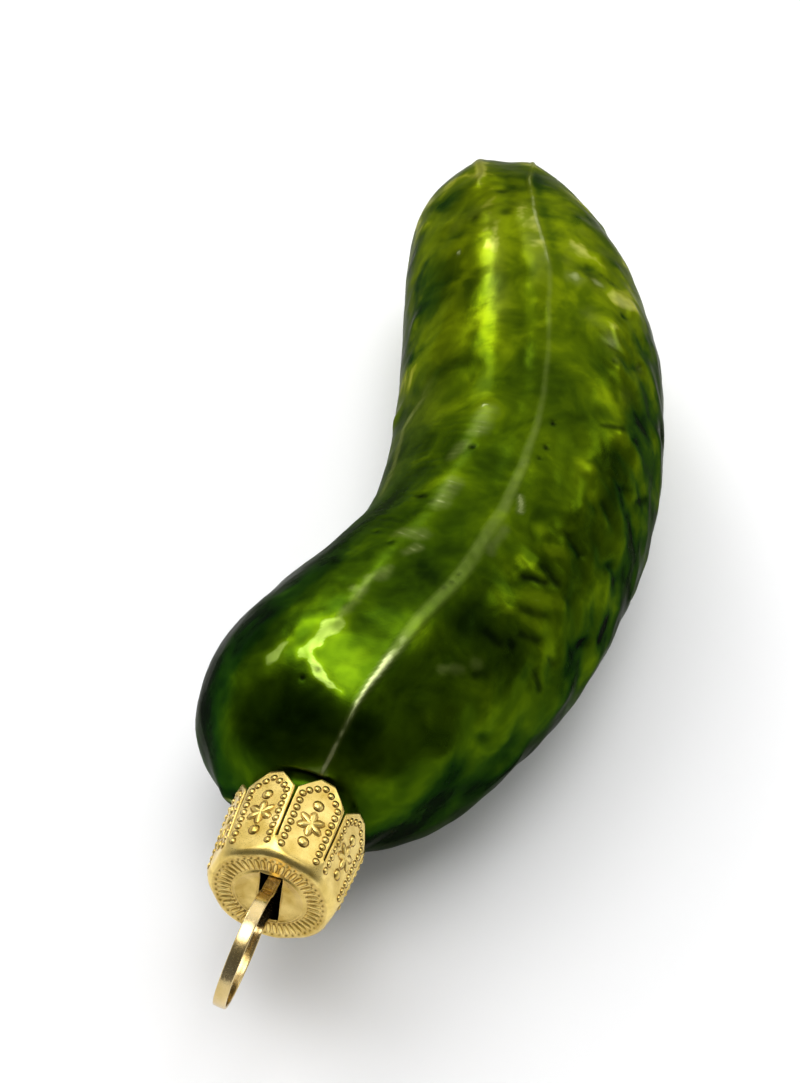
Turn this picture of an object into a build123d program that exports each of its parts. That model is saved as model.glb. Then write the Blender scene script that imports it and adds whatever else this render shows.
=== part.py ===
from build123d import *
import math
import os

# Blown glass pickle ornament, lying on its side on z = 0.
# Lengths are in millimetres and angles in degrees.

# Glass body: a dome at the cap end, a bent middle and a tapering tail.
body_radius = 16.0
glass_wall = 0.8
bend_heading = 36.7
bend_radius = 57.9
bend_angle = 56.8
tail_length = 36.6
tail_fullness = 1.88
tip_flat_radius = 3.6

# Warts and two low ridges cast on the glass. Places run along the middle line from the dome,
# and angles run from the top, positive on the outside of the bend.
wart_radius = 3.6
wart_height = 0.5
wart_places = [
    (53, 32), (39.5, 39), (29, 62), (22, 86), (15, 82), (8, 92), (44, 66), (33.5, 30), (66, 35),
    (62, -62), (46, -78), (28, -120), (10, -110), (54, -140), (70, 150), (40, 140), (18, 158),
    (2, 125), (33, 110), (52, 100), (64, 92), (73, -100),
]
ridge_radius = 2.4
ridge_height = 0.4
ridge_end_depth = 0.6
seam_places = [(2, 19), (14, 11), (28, 5.5), (45, 2.2), (57, 4), (68, 7)]
shoulder_places = [(5, -8), (16, -17), (30, -18.5), (44, -19), (57, -19), (68, -17)]

# Neck of the glass, raised a little above level.
neck_tilt = 11.9
neck_flare_radius = 1.6
neck_clearance = 0.5
rim_gap = 0.2

# Crown cap, one stamping with eight petals.
petal_count = 8
cap_radius = 6.35
cap_height = 10.3
cap_sheet = 0.3
cap_shoulder_radius = 0.9
petal_flare = 0.7
petal_shoulder_height = 8.4
petal_tip_width = 1.4
petal_dome_gap = 1.1
slit_width = 0.5
slit_start = 2.2
disc_radius = 3.5
disc_depth = 0.08

# Slot in the end of the cap for the hanger.
slot_length = 7.0
slot_width = 2.4
slot_turn = 4.0

# Ribbon hanger: ring outside, two legs inside the neck.
strip_width = 1.3
strip_thickness = 0.35
slot_end_gap = 0.25
ring_radius = 5.6
ring_root_radius = 1.5
ring_stand = 1.4
leg_depth = 8.0
leg_straight = 1.2
leg_bore_gap = 0.75
hanger_turn = 10.5
hanger_lean = 2.5

# Sizes that follow from the ones above.
neck_radius = cap_radius - cap_sheet - neck_clearance
bore_radius = neck_radius - glass_wall
petal_radius = cap_radius + petal_flare
plate_distance = math.sqrt(body_radius**2 - petal_radius**2) + petal_dome_gap + cap_height
rim_distance = plate_distance - cap_sheet - rim_gap
corner_factor = 1.0 / math.cos(math.pi / petal_count)


def heading(angle):
    """Level unit vector at an angle from +Y towards +X."""
    return Vector(math.sin(math.radians(angle)), math.cos(math.radians(angle)), 0)


def left_of(angle):
    """Level unit vector on the left hand of a heading."""
    return Vector(-math.cos(math.radians(angle)), math.sin(math.radians(angle)), 0)


# Datum points along the middle of the glass.
dome_centre = Vector(0, 0, body_radius)
bend_centre = dome_centre + left_of(bend_heading) * bend_radius
bend_length = bend_radius * math.radians(bend_angle)
tail_heading = bend_heading - bend_angle
tail_start = bend_centre - left_of(tail_heading) * bend_radius

# Planes: start of the bend, and the neck with z out of the glass.
bend_plane = Plane(origin=dome_centre, x_dir=(0, 0, -1), z_dir=heading(bend_heading))
neck_out = Vector(0, -math.cos(math.radians(neck_tilt)), math.sin(math.radians(neck_tilt)))
neck_plane = Plane(origin=dome_centre, x_dir=(1, 0, 0), z_dir=neck_out)
turning_plane = Plane(origin=dome_centre, x_dir=(1, 0, 0), z_dir=Vector(1, 0, 0).cross(neck_out))
tail_plane = Plane(origin=tail_start, x_dir=(0, 0, 1), z_dir=left_of(tail_heading))
plate_plane = Plane(origin=dome_centre + neck_out * plate_distance, x_dir=(1, 0, 0), z_dir=-neck_out)


def tail_outline(inset):
    """Points of the rounded taper, drawn in by the inset for the cavity."""
    wide = body_radius - inset
    power = 2.0 / tail_fullness
    points = []
    for step in (0, 20, 38, 54, 68, 80, 90):
        along = (tail_length - inset) * math.sin(math.radians(step)) ** power
        out = tip_flat_radius + (wide - tip_flat_radius) * math.cos(math.radians(step)) ** power
        points.append((out, along))
    return points


def under_skin(place, angle, depth):
    """Plane at a depth below the glass, by its place and angle, with x to the middle line."""
    turn = bend_heading - math.degrees(min(place, bend_length) / bend_radius)
    along = max(place - bend_length, 0.0)
    slope = math.asin((along / tail_length) ** (tail_fullness / 2.0))
    skin = tip_flat_radius + (body_radius - tip_flat_radius) * math.cos(slope) ** (2.0 / tail_fullness)
    out = -left_of(turn) * math.sin(math.radians(angle)) + Vector(0, 0, math.cos(math.radians(angle)))
    middle = bend_centre - left_of(turn) * bend_radius + heading(turn) * along
    return Plane(origin=middle + out * (skin - depth), x_dir=-out, z_dir=heading(turn))


def ridge_route(places):
    """Points of a ridge that comes up out of the glass and sinks back at both ends."""
    depths = [ridge_radius - ridge_height] * len(places)
    depths[0] = depths[-1] = ridge_radius + ridge_end_depth
    return [under_skin(place, angle, depth).origin for (place, angle), depth in zip(places, depths)]


# Cavity of the glass, cut out of the body below.
with BuildPart() as glass_cavity:
    inner_radius = body_radius - glass_wall
    with BuildSketch(turning_plane):
        with BuildLine():
            bore_foot = math.sqrt(inner_radius**2 - bore_radius**2)
            bore_top = rim_distance + glass_wall
            Line((0, -inner_radius), (0, bore_top))
            Line((0, bore_top), (bore_radius, bore_top))
            Line((bore_radius, bore_top), (bore_radius, bore_foot))
            bore_angle = math.degrees(math.atan2(bore_foot, bore_radius))
            CenterArc((0, 0), inner_radius, -90, 90 + bore_angle)
        make_face()
    revolve(axis=Axis(dome_centre, neck_out))
    split(bisect_by=bend_plane, keep=Keep.BOTTOM)
    with BuildSketch(bend_plane):
        Circle(inner_radius)
    revolve(axis=Axis(bend_centre, (0, 0, 1)), revolution_arc=bend_angle)
    with BuildSketch(tail_plane):
        with BuildLine():
            tail_points = tail_outline(glass_wall)
            Spline(*tail_points, tangents=[(0, 1), (-1, 0)])
            Polyline(tail_points[-1], (0, tail_points[-1][1]), (0, 0), tail_points[0])
        make_face()
    revolve(axis=Axis(tail_start, heading(tail_heading)))

# Glass body: dome and neck turned about the neck line, then the bend and the tail.
with BuildPart() as glass_body:
    flare_height = math.sqrt(
        (body_radius + neck_flare_radius) ** 2 - (neck_radius + neck_flare_radius) ** 2
    )
    flare_angle = math.degrees(math.atan2(flare_height, neck_radius + neck_flare_radius))
    with BuildSketch(turning_plane):
        with BuildLine():
            Line((0, -body_radius), (0, rim_distance))
            Line((0, rim_distance), (neck_radius, rim_distance))
            Line((neck_radius, rim_distance), (neck_radius, flare_height))
            CenterArc((neck_radius + neck_flare_radius, flare_height), neck_flare_radius, 180, flare_angle)
            CenterArc((0, 0), body_radius, -90, 90 + flare_angle)
        make_face()
    revolve(axis=Axis(dome_centre, neck_out))
    split(bisect_by=bend_plane, keep=Keep.BOTTOM)
    with BuildSketch(bend_plane):
        Circle(body_radius)
    revolve(axis=Axis(bend_centre, (0, 0, 1)), revolution_arc=bend_angle)
    with BuildSketch(tail_plane):
        with BuildLine():
            tail_points = tail_outline(0.0)
            Spline(*tail_points, tangents=[(0, 1), (-1, 0)])
            Polyline(tail_points[-1], (0, tail_points[-1][1]), (0, 0), tail_points[0])
        make_face()
    revolve(axis=Axis(tail_start, heading(tail_heading)))
    with Locations(*[under_skin(place, angle, wart_radius - wart_height) for place, angle in wart_places]):
        Sphere(wart_radius)
    for places in (seam_places, shoulder_places):
        with BuildLine() as route:
            Spline(*ridge_route(places))
        with BuildSketch(Plane(route.line @ 0, z_dir=route.line % 0)):
            Circle(ridge_radius)
        sweep(path=route.line)
    add(glass_cavity.part, mode=Mode.SUBTRACT)
glass_body.part.label = "glass_body"

# Crown cap: a flared eight-sided cup with its open end towards the glass.
with BuildPart() as crown_cap:
    with BuildSketch(plate_plane):
        RegularPolygon(cap_radius * corner_factor, petal_count)
    with BuildSketch(plate_plane.offset(cap_height)):
        RegularPolygon(petal_radius * corner_factor, petal_count)
    loft()
    fillet(crown_cap.faces().sort_by(Axis(dome_centre, neck_out))[-1].edges(), cap_shoulder_radius)
    inside_share = cap_sheet / cap_height
    with BuildSketch(plate_plane.offset(cap_sheet)):
        lower = cap_radius + petal_flare * inside_share - cap_sheet
        RegularPolygon(lower * corner_factor, petal_count)
    with BuildSketch(plate_plane.offset(cap_height)):
        RegularPolygon((petal_radius - cap_sheet) * corner_factor, petal_count)
    loft(mode=Mode.SUBTRACT)
    # Slits at the corners, opening into the gaps between the pointed petals.
    half_pitch = petal_radius * math.tan(math.pi / petal_count)
    gap_top = half_pitch - petal_tip_width / 2
    for number in range(petal_count):
        corner = 2 * math.pi / petal_count * number
        spoke = plate_plane.x_dir * math.cos(corner) + plate_plane.y_dir * math.sin(corner)
        across = plate_plane.y_dir * math.cos(corner) - plate_plane.x_dir * math.sin(corner)
        with BuildSketch(Plane(origin=plate_plane.origin, x_dir=across, z_dir=spoke)):
            with BuildLine():
                Polyline(
                    (-slit_width / 2, slit_start),
                    (-slit_width / 2, petal_shoulder_height),
                    (-gap_top, cap_height + cap_sheet),
                    (gap_top, cap_height + cap_sheet),
                    (slit_width / 2, petal_shoulder_height),
                    (slit_width / 2, slit_start),
                )
                ThreePointArc(
                    (slit_width / 2, slit_start),
                    (0, slit_start - slit_width / 2),
                    (-slit_width / 2, slit_start),
                )
            make_face()
        extrude(amount=petal_radius * 2, mode=Mode.SUBTRACT)
    # Shallow round dish in the end plate, and the slot for the hanger.
    with BuildSketch(plate_plane):
        Circle(disc_radius)
    extrude(amount=disc_depth, mode=Mode.SUBTRACT)
    with BuildSketch(plate_plane):
        with Locations(Rotation(0, 0, slot_turn)):
            Rectangle(slot_width, slot_length)
    extrude(amount=cap_sheet, mode=Mode.SUBTRACT)
crown_cap.part.label = "crown_cap"

# Ribbon hanger: its plane stands on the plate, turned in the slot and leaning a little.
plate_up = Vector(0, math.sin(math.radians(neck_tilt)), math.cos(math.radians(neck_tilt)))
level = Vector(1, 0, 0)
turn_cos = math.cos(math.radians(hanger_turn))
turn_sin = math.sin(math.radians(hanger_turn))
lean_cos = math.cos(math.radians(hanger_lean))
lean_sin = math.sin(math.radians(hanger_lean))
hanger_across = level * turn_sin + plate_up * turn_cos
hanger_side = level * turn_cos - plate_up * turn_sin
hanger_out = neck_out * lean_cos - hanger_side * lean_sin
slot_centre = dome_centre + neck_out * (plate_distance - cap_sheet / 2)
hanger_plane = Plane(origin=slot_centre, x_dir=hanger_across, z_dir=hanger_across.cross(hanger_out))

# Sizes of the ribbon's middle line: leg, root, ring, root, leg.
leg_span = slot_length / 2 - slot_end_gap - strip_thickness / 2
foot_span = bore_radius - leg_bore_gap - strip_thickness / 2
root_rise = math.sqrt((ring_radius + ring_root_radius) ** 2 - (leg_span + ring_root_radius) ** 2)
ring_height = ring_stand + root_rise
root_angle = math.degrees(math.atan2(root_rise, leg_span + ring_root_radius))

with BuildPart() as ribbon_hanger:
    with BuildSketch(hanger_plane):
        with BuildLine():
            TangentArc((leg_span, -leg_straight), (foot_span, -leg_depth), tangent=(0, -1))
            Line((leg_span, -leg_straight), (leg_span, ring_stand))
            CenterArc((leg_span + ring_root_radius, ring_stand), ring_root_radius, 180, -root_angle)
            CenterArc((0, ring_height), ring_radius, -root_angle, 180 + 2 * root_angle)
            CenterArc((-leg_span - ring_root_radius, ring_stand), ring_root_radius, 0, root_angle)
            Line((-leg_span, ring_stand), (-leg_span, -leg_straight))
            TangentArc((-leg_span, -leg_straight), (-foot_span, -leg_depth), tangent=(0, -1))
            offset(amount=strip_thickness / 2, side=Side.BOTH, mode=Mode.REPLACE)
        make_face()
    extrude(amount=strip_width / 2, both=True)
ribbon_hanger.part.label = "ribbon_hanger"

# Put the origin on the floor under the middle of the whole ornament.
pieces = [glass_body.part, crown_cap.part, ribbon_hanger.part]
boxes = [piece.bounding_box() for piece in pieces]
middle_x = (min(box.min.X for box in boxes) + max(box.max.X for box in boxes)) / 2
middle_y = (min(box.min.Y for box in boxes) + max(box.max.Y for box in boxes)) / 2
floor_z = min(box.min.Z for box in boxes)
for piece in pieces:
    piece.move(Location((-middle_x, -middle_y, -floor_z)))

os.makedirs("parts", exist_ok=True)
export_step(glass_body.part, "parts/glass_body.step")
export_step(crown_cap.part, "parts/crown_cap.step")
export_step(ribbon_hanger.part, "parts/ribbon_hanger.step")
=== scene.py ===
import math

import bpy
import numpy as np
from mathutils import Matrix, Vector, noise


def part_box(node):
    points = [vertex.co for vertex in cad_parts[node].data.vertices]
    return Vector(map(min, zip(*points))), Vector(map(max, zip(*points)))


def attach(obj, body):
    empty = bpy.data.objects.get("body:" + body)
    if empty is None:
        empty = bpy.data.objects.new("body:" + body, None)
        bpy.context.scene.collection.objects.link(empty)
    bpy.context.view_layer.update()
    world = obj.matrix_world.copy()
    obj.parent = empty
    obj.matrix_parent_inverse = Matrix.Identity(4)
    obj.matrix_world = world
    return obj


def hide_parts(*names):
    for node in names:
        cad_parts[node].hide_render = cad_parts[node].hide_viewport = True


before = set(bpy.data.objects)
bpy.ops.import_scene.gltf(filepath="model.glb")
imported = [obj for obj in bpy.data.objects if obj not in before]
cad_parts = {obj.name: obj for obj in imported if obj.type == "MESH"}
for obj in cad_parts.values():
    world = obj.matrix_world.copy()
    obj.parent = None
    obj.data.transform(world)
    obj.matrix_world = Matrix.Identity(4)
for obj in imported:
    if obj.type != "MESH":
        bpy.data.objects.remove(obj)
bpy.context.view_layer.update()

# Sizes in millimetres and angles in degrees, the same as the solids have.
MM = 0.001
BODY_RADIUS = 16.0
GLASS_WALL = 0.8
BEND_HEADING = 36.7
BEND_RADIUS = 57.9
BEND_ANGLE = 56.8
TAIL_LENGTH = 36.6
TAIL_FULLNESS = 1.88
TIP_FLAT = 3.6
NECK_TILT = 11.9
NECK_FLARE = 1.6
NECK_CLEARANCE = 0.5
RIM_GAP = 0.2
CAP_RADIUS = 6.35
CAP_HEIGHT = 10.3
CAP_SHEET = 0.3
PETALS = 8
PETAL_FLARE = 0.7
PETAL_SHOULDER = 8.4
PETAL_TIP_WIDTH = 1.4
PETAL_DOME_GAP = 1.1
SLIT_WIDTH = 0.5
SLIT_START = 2.2
DISC_RADIUS = 3.5
SLOT_LENGTH = 7.0
SLOT_WIDTH = 2.4
SLOT_TURN = 4.0
SLOT_END_GAP = 0.25
STRIP_WIDTH = 1.3
STRIP_THICKNESS = 0.35
RING_RADIUS = 5.6
RING_ROOT = 1.5
RING_STAND = 1.4
LEG_DEPTH = 8.0
LEG_STRAIGHT = 1.2
LEG_BORE_GAP = 0.75
HANGER_TURN = 10.5
HANGER_LEAN = 2.5

# Sizes that follow from the ones above.
NECK_RADIUS = CAP_RADIUS - CAP_SHEET - NECK_CLEARANCE
BORE_RADIUS = NECK_RADIUS - GLASS_WALL
PETAL_RADIUS = CAP_RADIUS + PETAL_FLARE
PLATE_DISTANCE = math.sqrt(BODY_RADIUS**2 - PETAL_RADIUS**2) + PETAL_DOME_GAP + CAP_HEIGHT
RIM_DISTANCE = PLATE_DISTANCE - CAP_SHEET - RIM_GAP
LEG_SPAN = SLOT_LENGTH / 2 - SLOT_END_GAP - STRIP_THICKNESS / 2
FOOT_SPAN = BORE_RADIUS - LEG_BORE_GAP - STRIP_THICKNESS / 2


def heading(angle):
    """Level unit vector at an angle from +Y towards +X."""
    return np.array([math.sin(math.radians(angle)), math.cos(math.radians(angle)), 0.0])


def left_of(angle):
    """Level unit vector on the left hand of a heading."""
    return np.array([-math.cos(math.radians(angle)), math.sin(math.radians(angle)), 0.0])


def unit(v):
    return v / np.linalg.norm(v)


# The middle of the dome at the cap end, found from the glass node's own box:
# the dome gives the box its -X side, and the neck's rim its -Y side.
glass_low = np.array(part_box("glass_body")[0]) / MM
TILT_COS = math.cos(math.radians(NECK_TILT))
TILT_SIN = math.sin(math.radians(NECK_TILT))
UP = np.array([0.0, 0.0, 1.0])
NECK_OUT = np.array([0.0, -TILT_COS, TILT_SIN])
DOME = np.array([
    glass_low[0] + BODY_RADIUS,
    glass_low[1] + RIM_DISTANCE * TILT_COS + NECK_RADIUS * TILT_SIN,
    BODY_RADIUS,
])
BEND_CENTRE = DOME + left_of(BEND_HEADING) * BEND_RADIUS
BEND_LENGTH = BEND_RADIUS * math.radians(BEND_ANGLE)
TAIL_HEADING = BEND_HEADING - BEND_ANGLE
TAIL_START = BEND_CENTRE - left_of(TAIL_HEADING) * BEND_RADIUS
PLATE = DOME + NECK_OUT * PLATE_DISTANCE


def new_object(name, verts, faces, materials, face_material=None, smooth=40.0):
    """Mesh object in metres from points in millimetres, with edges sharper than an angle kept sharp."""
    mesh = bpy.data.meshes.new(name)
    mesh.from_pydata((np.asarray(verts, float) * MM).tolist(), [], faces)
    for material in materials:
        mesh.materials.append(material)
    if face_material is not None:
        mesh.polygons.foreach_set("material_index", face_material)
    mesh.polygons.foreach_set("use_smooth", [True] * len(mesh.polygons))
    mesh.update()
    if smooth:
        mesh.set_sharp_from_angle(angle=math.radians(smooth))
    piece = bpy.data.objects.new(name, mesh)
    bpy.context.scene.collection.objects.link(piece)
    return piece


def store_layer(piece, name, values):
    """One number for each point of a piece, for its material to read."""
    layer = piece.data.attributes.new(name, "FLOAT", "POINT")
    layer.data.foreach_set("value", values.astype(np.float32))


def grid_faces(rows, columns, wrap=True):
    """Quads of a grid of points laid out row by row."""
    faces = []
    last = columns if wrap else columns - 1
    for i in range(rows - 1):
        for j in range(last):
            k = (j + 1) % columns
            here = i * columns
            above = here + columns
            faces.append((here + j, here + k, above + k, above + j))
    return faces


def bake(piece):
    """Turns a piece with modifiers into a plain mesh, without the empty material slots that come first."""
    graph = bpy.context.evaluated_depsgraph_get()
    mesh = bpy.data.meshes.new_from_object(piece.evaluated_get(graph), depsgraph=graph)
    while len(mesh.materials) > 1 and mesh.materials[0] is None:
        mesh.materials.pop(index=0)
    piece.modifiers.clear()
    old = piece.data
    piece.data = mesh
    bpy.data.meshes.remove(old)


# Sockets of a colour Mix node go by number, because several of them share a name.
MIX_SHARE = 0
MIX_FROM = 6
MIX_TO = 7
MIX_RESULT = 2


class Tree:
    """Small helper to build a node tree: makes nodes, sets values and links sockets."""

    def __init__(self, tree):
        self.tree = tree

    def link(self, source, target):
        self.tree.links.new(source, target)

    def fill(self, node, values):
        """Links a node's inputs to sockets, or sets them to plain values."""
        for key, value in values.items():
            if isinstance(value, bpy.types.NodeSocket):
                self.link(value, node.inputs[key])
            else:
                node.inputs[key].default_value = value

    def node(self, kind, values=None, **properties):
        made = self.tree.nodes.new(kind)
        for key, value in properties.items():
            setattr(made, key, value)
        self.fill(made, values or {})
        return made

    def math(self, operation, *values, **properties):
        """Result of a Math node."""
        numbered = dict(enumerate(values))
        return self.node("ShaderNodeMath", numbered, operation=operation, **properties).outputs[0]

    def combine(self, **parts):
        """Vector from its X, Y and Z."""
        return self.node("ShaderNodeCombineXYZ", parts).outputs[0]

    def attribute(self, name):
        """Number that a piece's mesh stores under a name."""
        return self.node("ShaderNodeAttribute", attribute_name=name).outputs["Fac"]

    def mix(self, share, colour, end, blend="MIX"):
        """Colour taken a share of the way to another one."""
        values = {MIX_SHARE: share, MIX_FROM: colour, MIX_TO: end}
        made = self.node("ShaderNodeMix", values, data_type="RGBA", blend_type=blend)
        return made.outputs[MIX_RESULT]

    def span(self, value, low, high, to_low, to_high, **properties):
        """Value carried from one range to another."""
        made = self.node("ShaderNodeMapRange", {
            "Value": value, "From Min": low, "From Max": high, "To Min": to_low, "To Max": to_high,
        }, **properties)
        return made.outputs[0]

    def ramp(self, source, stops):
        """Colour ramp with the given (place, colour) stops."""
        made = self.node("ShaderNodeValToRGB", {"Fac": source})
        elements = made.color_ramp.elements
        while len(elements) < len(stops):
            elements.new(0.5)
        for element, (place, colour) in zip(elements, stops):
            element.position = place
            element.color = (*colour, 1.0)
        return made.outputs["Color"]


def new_material(name):
    """Empty node material, the helper for its tree, and its Principled shader."""
    material = bpy.data.materials.new(name)
    material.use_nodes = True
    return material, Tree(material.node_tree), material.node_tree.nodes["Principled BSDF"]


def surface_speckle_group():
    """Shared shader group: soft blotches, fine grain and a bump normal, sized in millimetres."""
    group = bpy.data.node_groups.new("surface_speckle", "ShaderNodeTree")
    sockets = group.interface
    for name, value in (("Blotch Size", 5.0), ("Grain Size", 0.3), ("Bump Height", 0.01)):
        made = sockets.new_socket(name=name, in_out="INPUT", socket_type="NodeSocketFloat")
        made.default_value = value
    sockets.new_socket(name="Blotch", in_out="OUTPUT", socket_type="NodeSocketFloat")
    sockets.new_socket(name="Grain", in_out="OUTPUT", socket_type="NodeSocketFloat")
    sockets.new_socket(name="Normal", in_out="OUTPUT", socket_type="NodeSocketVector")
    t = Tree(group)
    start = t.node("NodeGroupInput")
    end = t.node("NodeGroupOutput")
    place = t.node("ShaderNodeTexCoord")
    scaled = t.node("ShaderNodeVectorMath", {
        0: place.outputs["Object"], "Scale": 1 / MM}, operation="SCALE")
    blotch = t.node("ShaderNodeTexNoise", {
        "Vector": scaled.outputs[0], "Scale": t.math("DIVIDE", 1.0, start.outputs["Blotch Size"]),
        "Detail": 3.0, "Roughness": 0.55, "Distortion": 0.4})
    grain = t.node("ShaderNodeTexNoise", {
        "Vector": scaled.outputs[0], "Scale": t.math("DIVIDE", 1.0, start.outputs["Grain Size"]),
        "Detail": 2.0, "Roughness": 0.6})
    bump = t.node("ShaderNodeBump", {
        "Height": grain.outputs["Fac"], "Strength": 1.0,
        "Distance": t.math("MULTIPLY", start.outputs["Bump Height"], MM)})
    t.fill(end, {
        "Blotch": blotch.outputs["Fac"], "Grain": grain.outputs["Fac"], "Normal": bump.outputs["Normal"]})
    return group


SPECKLE = surface_speckle_group()


def speckle(t, blotch, grain, bump):
    """The shared group in a material, with its own sizes."""
    sizes = {"Blotch Size": blotch, "Grain Size": grain, "Bump Height": bump}
    return t.node("ShaderNodeGroup", sizes, node_tree=SPECKLE).outputs


# Colours of the lacquer, from the painted shade of a dent to the painted highlight of the hook on the dome.
LACQUER_STOPS = [
    (0.20, (0.011, 0.024, 0.0002)),
    (0.40, (0.035, 0.062, 0.0003)),
    (0.58, (0.072, 0.112, 0.0005)),
    (0.85, (0.205, 0.272, 0.0030)),
    (1.00, (0.640, 0.660, 0.1400)),
]
# Pale colours of the lacquer where it is worn, also used for painted highlights, sheen and glints.
RUBBED_STOPS = [(0.50, (0.110, 0.142, 0.034)), (0.95, (0.37, 0.42, 0.18))]
CAP_END_SHADE = (0.46, 0.67, 0.46, 1.0)
# Near black that paints shade into pits and slits.
SPOT_COLOUR = (0.002, 0.004, 0.001, 1.0)
BARE_NECK = (0.45, 0.50, 0.36, 1.0)
RELIEF_SHARE = 0.55


def lacquer_material():
    """Green lacquer over silvered glass: mottled, satin, pale on the seam partly from rubbing and partly as
    a painted highlight, deeper at the cap end, with painted light, shade, sheen and glints from the skin's
    layers.
    """
    material, t, shader = new_material("green_lacquer")
    mottle = speckle(t, blotch=6.0, grain=0.22, bump=0.010)
    rub = t.attribute("rub")
    # Painted light and shade from the skin's layers, over the random mottle.
    tone = t.math("MULTIPLY_ADD", t.attribute("relief"), RELIEF_SHARE, mottle["Blotch"], use_clamp=True)
    green = t.ramp(tone, LACQUER_STOPS)
    green = t.mix(t.attribute("deep"), green, CAP_END_SHADE, "MULTIPLY")
    green = t.mix(rub, green, t.ramp(rub, RUBBED_STOPS))
    # Painted shade in pits and slits.
    green = t.mix(t.attribute("spot"), green, SPOT_COLOUR)
    green = t.mix(t.attribute("neck"), green, BARE_NECK)
    rough = t.span(mottle["Blotch"], 0.3, 0.7, 0.27, 0.35)
    t.fill(shader, {
        "Base Color": green,
        "Roughness": t.math("MULTIPLY_ADD", t.attribute("dull"), 0.18, rough),
        "Normal": mottle["Normal"],
        "Metallic": 1.0,
        "Specular Tint": (0.27, 0.27, 0.26, 1.0),
        "Coat Weight": 0.03,
        "Coat Roughness": 0.3,
        "Coat IOR": 1.45,
    })
    return material


def silver_material():
    """Silvering on the inside of the glass, seen only down the neck."""
    material, t, shader = new_material("inner_silver")
    mottle = speckle(t, blotch=3.0, grain=0.5, bump=0.01)
    t.fill(shader, {
        "Base Color": t.ramp(mottle["Blotch"], [(0.3, (0.52, 0.52, 0.50)), (0.7, (0.80, 0.80, 0.78))]),
        "Roughness": t.span(mottle["Grain"], 0.0, 1.0, 0.12, 0.3),
        "Metallic": 1.0,
    })
    return material


# Darker gold for painted shade round the pressed marks and on the end plate.
TARNISH = (0.46, 0.38, 0.29, 1.0)


def gold_material(name, deep, bright, rough, blotch, grain, bump):
    """Gold-coloured sheet metal with soft tarnish blotches, a rolled grain, and painted shade where a mesh
    stores it: the feet round its marks and the end plate.
    """
    material, t, shader = new_material(name)
    wear = speckle(t, blotch, grain, bump)
    colour = t.ramp(wear["Blotch"], [(0.30, deep), (0.68, bright)])
    t.fill(shader, {
        "Base Color": t.mix(t.attribute("shade"), colour, TARNISH, "MULTIPLY"),
        "Roughness": t.span(wear["Grain"], 0.3, 0.7, *rough),
        "Normal": wear["Normal"],
        "Metallic": 1.0,
    })
    return material


LACQUER = lacquer_material()
SILVER = silver_material()
CAP_GOLD = gold_material(
    "satin_cap_gold", deep=(0.62, 0.43, 0.09), bright=(0.94, 0.73, 0.25), rough=(0.26, 0.36),
    blotch=2.2, grain=0.12, bump=0.006)
RIBBON_GOLD = gold_material(
    "bright_ribbon_gold", deep=(0.60, 0.44, 0.17), bright=(0.80, 0.63, 0.32), rough=(0.19, 0.29),
    blotch=2.5, grain=0.18, bump=0.004)


# The blown glass: one closed skin, from the tip inside, out over the rim, to the tip outside.
AROUND = 208
TOP_CROWDING = 0.5
INNER_INSET = 2.6
BORE_STEPS = 6
RIM_STEPS = 8
NECK_STEPS = 10
FLARE_STEPS = 8
FLARE_HEIGHT = math.sqrt((BODY_RADIUS + NECK_FLARE) ** 2 - (NECK_RADIUS + NECK_FLARE) ** 2)
FLARE_ANGLE = math.atan2(FLARE_HEIGHT, NECK_RADIUS + NECK_FLARE)
FLARE_POLAR = math.pi / 2 - FLARE_ANGLE
# The lacquer covers this many rings of the neck above the dome.
LACQUERED_NECK_RINGS = 12


def smooth_step(value, low, high):
    t = np.clip((value - low) / (high - low), 0.0, 1.0)
    return t * t * (3.0 - 2.0 * t)


def dome_rings(radius, polar_start, count):
    """Rings over the dome whose axis swings from the neck line to the body's line."""
    rings = []
    into = -NECK_OUT
    ahead = heading(BEND_HEADING)
    swing = math.acos(float(np.dot(into, ahead)))
    for i in range(1, count + 1):
        t = i / count
        share = float(smooth_step(np.array(t), 0.0, 1.0))
        axis = (math.sin((1 - share) * swing) * into + math.sin(share * swing) * ahead) / math.sin(swing)
        polar = polar_start + (math.pi / 2 - polar_start) * t
        rings.append((DOME - axis * radius * math.cos(polar), axis, radius * math.sin(polar)))
    return rings


def bend_rings(radius, count):
    rings = []
    for i in range(1, count + 1):
        angle = BEND_HEADING - BEND_ANGLE * i / count
        rings.append((BEND_CENTRE - left_of(angle) * BEND_RADIUS, heading(angle), radius))
    return rings


def tail_rings(inset, count, tip_count):
    """Rings of the rounded tail, then of the small flat at the tip."""
    rings = []
    axis = heading(TAIL_HEADING)
    power = 2.0 / TAIL_FULLNESS
    wide = BODY_RADIUS - inset
    for i in range(1, count + 1):
        step = math.pi / 2 * i / count
        along = (TAIL_LENGTH - inset) * math.sin(step) ** power
        radius = TIP_FLAT + (wide - TIP_FLAT) * max(math.cos(step), 0.0) ** power
        rings.append((TAIL_START + axis * along, axis, radius))
    for i in range(1, tip_count):
        rings.append((TAIL_START + axis * (TAIL_LENGTH - inset), axis, TIP_FLAT * (1 - i / tip_count)))
    return rings


def neck_ring(height, radius):
    return (DOME + NECK_OUT * height, -NECK_OUT, radius)


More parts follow.
